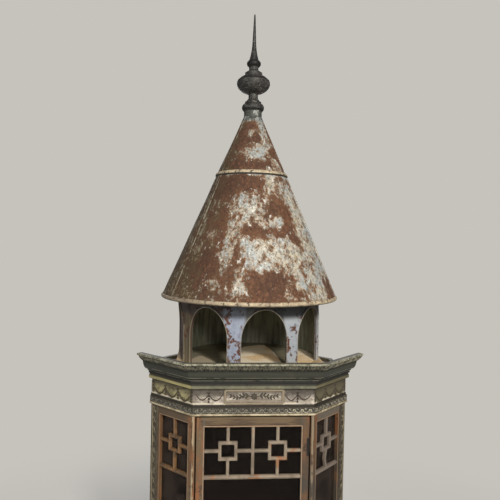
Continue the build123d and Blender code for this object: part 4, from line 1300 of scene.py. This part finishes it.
def post_chains():
    shape, beads = Shape(), Shape()
    count = int((BODY_TOP - BODY_BOTTOM) / CHAIN_UNIT)
    step = (BODY_TOP - BODY_BOTTOM) / count
    levels = (BODY_BOTTOM + 0.001, (BODY_BOTTOM + BODY_TOP) / 2, BODY_TOP - 0.001)
    for face, side in CHAINS:
        x = side * (face_length(face) / 2 - CHAIN_EDGE)
        for index in range(count):
            z = BODY_BOTTOM + (index + 0.5) * step
            shape.add(knob(0.0040, 0.0030, 4, 12), on_face(face, x, z, 0.0001))
            for turn, curl in ((58, 0.12), (122, -0.12), (-58, -0.12), (-122, 0.12)):
                shape.add(leaf(0.0150, 0.0062, 0.0026, rib=0.5, rows=6, columns=4, curl=curl),
                          on_face(face, x, z, 0.0001, radians(turn)))
        for edge in (-CHAIN_HALF, CHAIN_HALF):
            path = [(x + edge, level, 0) for level in levels]
            beads.add(strand(path, 0.0017, half=True), on_face(face))
    beads.piece("post_beads", carved["edge_cream"], "ornament_paint")
    shape.piece("post_chains", carved["chain"], "ornament_paint")


post_chains()


# Bars: a rounded bead along each bar of the lattices
# A sight is the left, right, bottom and top of an opening
half_light = face_length(FRONT_RIGHT) / 2
BAND_FOOT = DOOR_TOP - DOOR_TOP_RAIL - LATTICE_BAND
DOOR_SIGHT = (-DOOR_EDGE + DOOR_STILE, DOOR_EDGE - DOOR_STILE,
              DOOR_BOTTOM + DOOR_BOTTOM_RAIL, DOOR_TOP - DOOR_TOP_RAIL)
RIGHT_SIGHT = (-half_light + NARROW_POST + LIGHT_STILE, half_light - WIDE_POST - LIGHT_OUTER_STILE,
               BODY_BOTTOM + LIGHT_BOTTOM_RAIL, BODY_TOP - LIGHT_TOP_RAIL)
LEFT_SIGHT = (-RIGHT_SIGHT[1], -RIGHT_SIGHT[0], *RIGHT_SIGHT[2:])


def lattice_beads(shape, face, left, right, low, high, rail, cells, square, bow=0.0):
    out = -LATTICE_SET_BACK - 0.0001
    middle = (low + high) / 2
    pitch = (right - left + BAR_WIDTH) / cells
    half = square / 2 - BAR_WIDTH / 2
    side = pitch / 2 - BAR_WIDTH / 2
    bead_run(shape, face, (left, rail), (right, rail), out, 0.0032)
    for cell in range(cells):
        centre = left + (cell + 0.5) * pitch - BAR_WIDTH / 2
        bead_ring(shape, face, centre - half, centre + half, middle - half, middle + half, out)
        bars = [((centre, middle + half), (centre, high)), ((centre, low), (centre, middle - half)),
                ((centre - side, middle), (centre - half, middle)),
                ((centre + half, middle), (centre + side, middle))]
        if bow:
            knee = (centre - bow, (low + middle - half) / 2)
            bars[1:2] = [((centre, low), knee), (knee, (centre, middle - half))]
        if cell:
            x = left + cell * pitch - BAR_WIDTH / 2
            bars.append(((x, low), (x, high)))
        for start, end in bars:
            bead_run(shape, face, start, end, out)


def lattice_set(name, body, sets):
    shape = Shape()
    for face, (left, right, bottom, top), cells, square, bow in sets:
        rail = BAND_FOOT - LATTICE_RAIL / 2
        lattice_beads(shape, face, left, right, BAND_FOOT, top, rail, cells, square, bow)
        foot_top = bottom + top - BAND_FOOT
        rail = foot_top + LATTICE_RAIL / 2
        lattice_beads(shape, face, left, right, bottom, foot_top, rail, cells, square)
    shape.piece(name, materials["bar_paint"], "bar_paint", body)


lattice_set("door_bar_beads", "door", [(FRONT, DOOR_SIGHT, 2, DOOR_SQUARE, 0.0)])
lattice_set("light_bar_beads", "case", [
    (FRONT_RIGHT, RIGHT_SIGHT, 1, LIGHT_SQUARE, BOWED_BAR),
    (FRONT_LEFT, LEFT_SIGHT, 1, LIGHT_SQUARE, 0.0)])


# Frames: a worn bead round each opening
SIGHT_INSET = 0.0022


def sight_beads(name, body, sights):
    shape = Shape()
    for face, (left, right, bottom, top) in sights:
        bead_ring(shape, face, left - SIGHT_INSET, right + SIGHT_INSET,
                  bottom - SIGHT_INSET, top + SIGHT_INSET, -0.0002, radius=0.0016, flat=0.6)
    shape.piece(name, carved["frame"], "frame_wood", body)


sight_beads("door_sight_bead", "door", [(FRONT, DOOR_SIGHT)])
sight_beads("light_sight_beads", "case", [(FRONT_RIGHT, RIGHT_SIGHT), (FRONT_LEFT, LEFT_SIGHT)])


# Floor, light and camera
BACKDROP = "#c6c3bc"
FLOOR_SIZE = 30
FLOOR_FADE_START = 1.1
FLOOR_FADE_END = 2.4
WORLD_STRENGTH = 0.31
LAMP_AIM = 1.2


def stage_floor():
    """Plain floor that fades into the backdrop away from the cabinet."""
    bpy.ops.mesh.primitive_plane_add(size=FLOOR_SIZE)
    floor = bpy.context.object
    floor.name = "stage_floor"
    paint = Paint("stage_floor")
    x, y, z = paint.axes()
    far = ((x * x + y * y) ** 0.5).step(FLOOR_FADE_START, FLOOR_FADE_END)
    rays = paint.node("ShaderNodeLightPath", {})
    glow = paint.node("ShaderNodeEmission", {"Color": rgb(BACKDROP)})
    paint.surface(paint.mix_shaders(far * rays.outputs["Is Camera Ray"], paint.shader, glow))
    floor.data.materials.append(paint.done(rgb("#d6d3cd"), (0.9,)))


def area_lamp(name, azimuth, elevation, distance, size, power, tint):
    """Square lamp that looks at the axis. Azimuth 0 is in front, positive to the right."""
    lamp = bpy.data.lights.new(name, "AREA")
    lamp.size = size
    lamp.energy = power
    lamp.color = tint
    made = bpy.data.objects.new(name, lamp)
    bpy.context.scene.collection.objects.link(made)
    reach = cos(elevation) * distance
    spot = Vector((sin(azimuth) * reach, -cos(azimuth) * reach, LAMP_AIM + sin(elevation) * distance))
    made.location = spot
    made.rotation_euler = (Vector((0, 0, LAMP_AIM)) - spot).to_track_quat("-Z", "Y").to_euler()


def world_light():
    """Even light, with the backdrop's colour where the camera sees it."""
    bpy.context.scene.world = bpy.data.worlds.new("studio")
    world = Nodes(bpy.context.scene.world, "World Output")
    light = world.node("ShaderNodeBackground", {"Color": rgb("#d9dade"), "Strength": WORLD_STRENGTH})
    shown = world.node("ShaderNodeBackground", {"Color": rgb(BACKDROP)})
    rays = world.node("ShaderNodeLightPath", {})
    world.surface(world.mix_shaders(rays.outputs["Is Camera Ray"], light, shown))


def camera():
    lens = bpy.data.cameras.new("camera")
    lens.lens = LENS
    lens.sensor_width = SENSOR
    made = bpy.data.objects.new("camera", lens)
    bpy.context.scene.collection.objects.link(made)
    spot = Vector((sin(VIEW_AZIMUTH) * VIEW_DISTANCE, -cos(VIEW_AZIMUTH) * VIEW_DISTANCE, EYE_HEIGHT))
    turn = Matrix.Rotation(VIEW_AZIMUTH, 4, "Z")
    tilt = Matrix.Rotation(radians(90) - VIEW_PITCH, 4, "X")
    roll = Matrix.Rotation(VIEW_ROLL, 4, "Z")
    made.matrix_world = Matrix.Translation(spot) @ turn @ tilt @ roll
    bpy.context.scene.camera = made


stage_floor()
world_light()
area_lamp("key", radians(13), radians(30), 4.0, 0.40, 120, (1.0, 0.96, 0.90))
area_lamp("front", radians(2), radians(19), 4.0, 0.5, 34, (1.0, 0.97, 0.92))
area_lamp("window", radians(-58), radians(14), 3.5, 2.0, 15, (0.94, 0.97, 1.0))
area_lamp("back", radians(178), radians(24), 4.0, 2.5, 75, (0.98, 0.98, 1.0))
camera()
bpy.context.scene.view_settings.view_transform = "Standard"
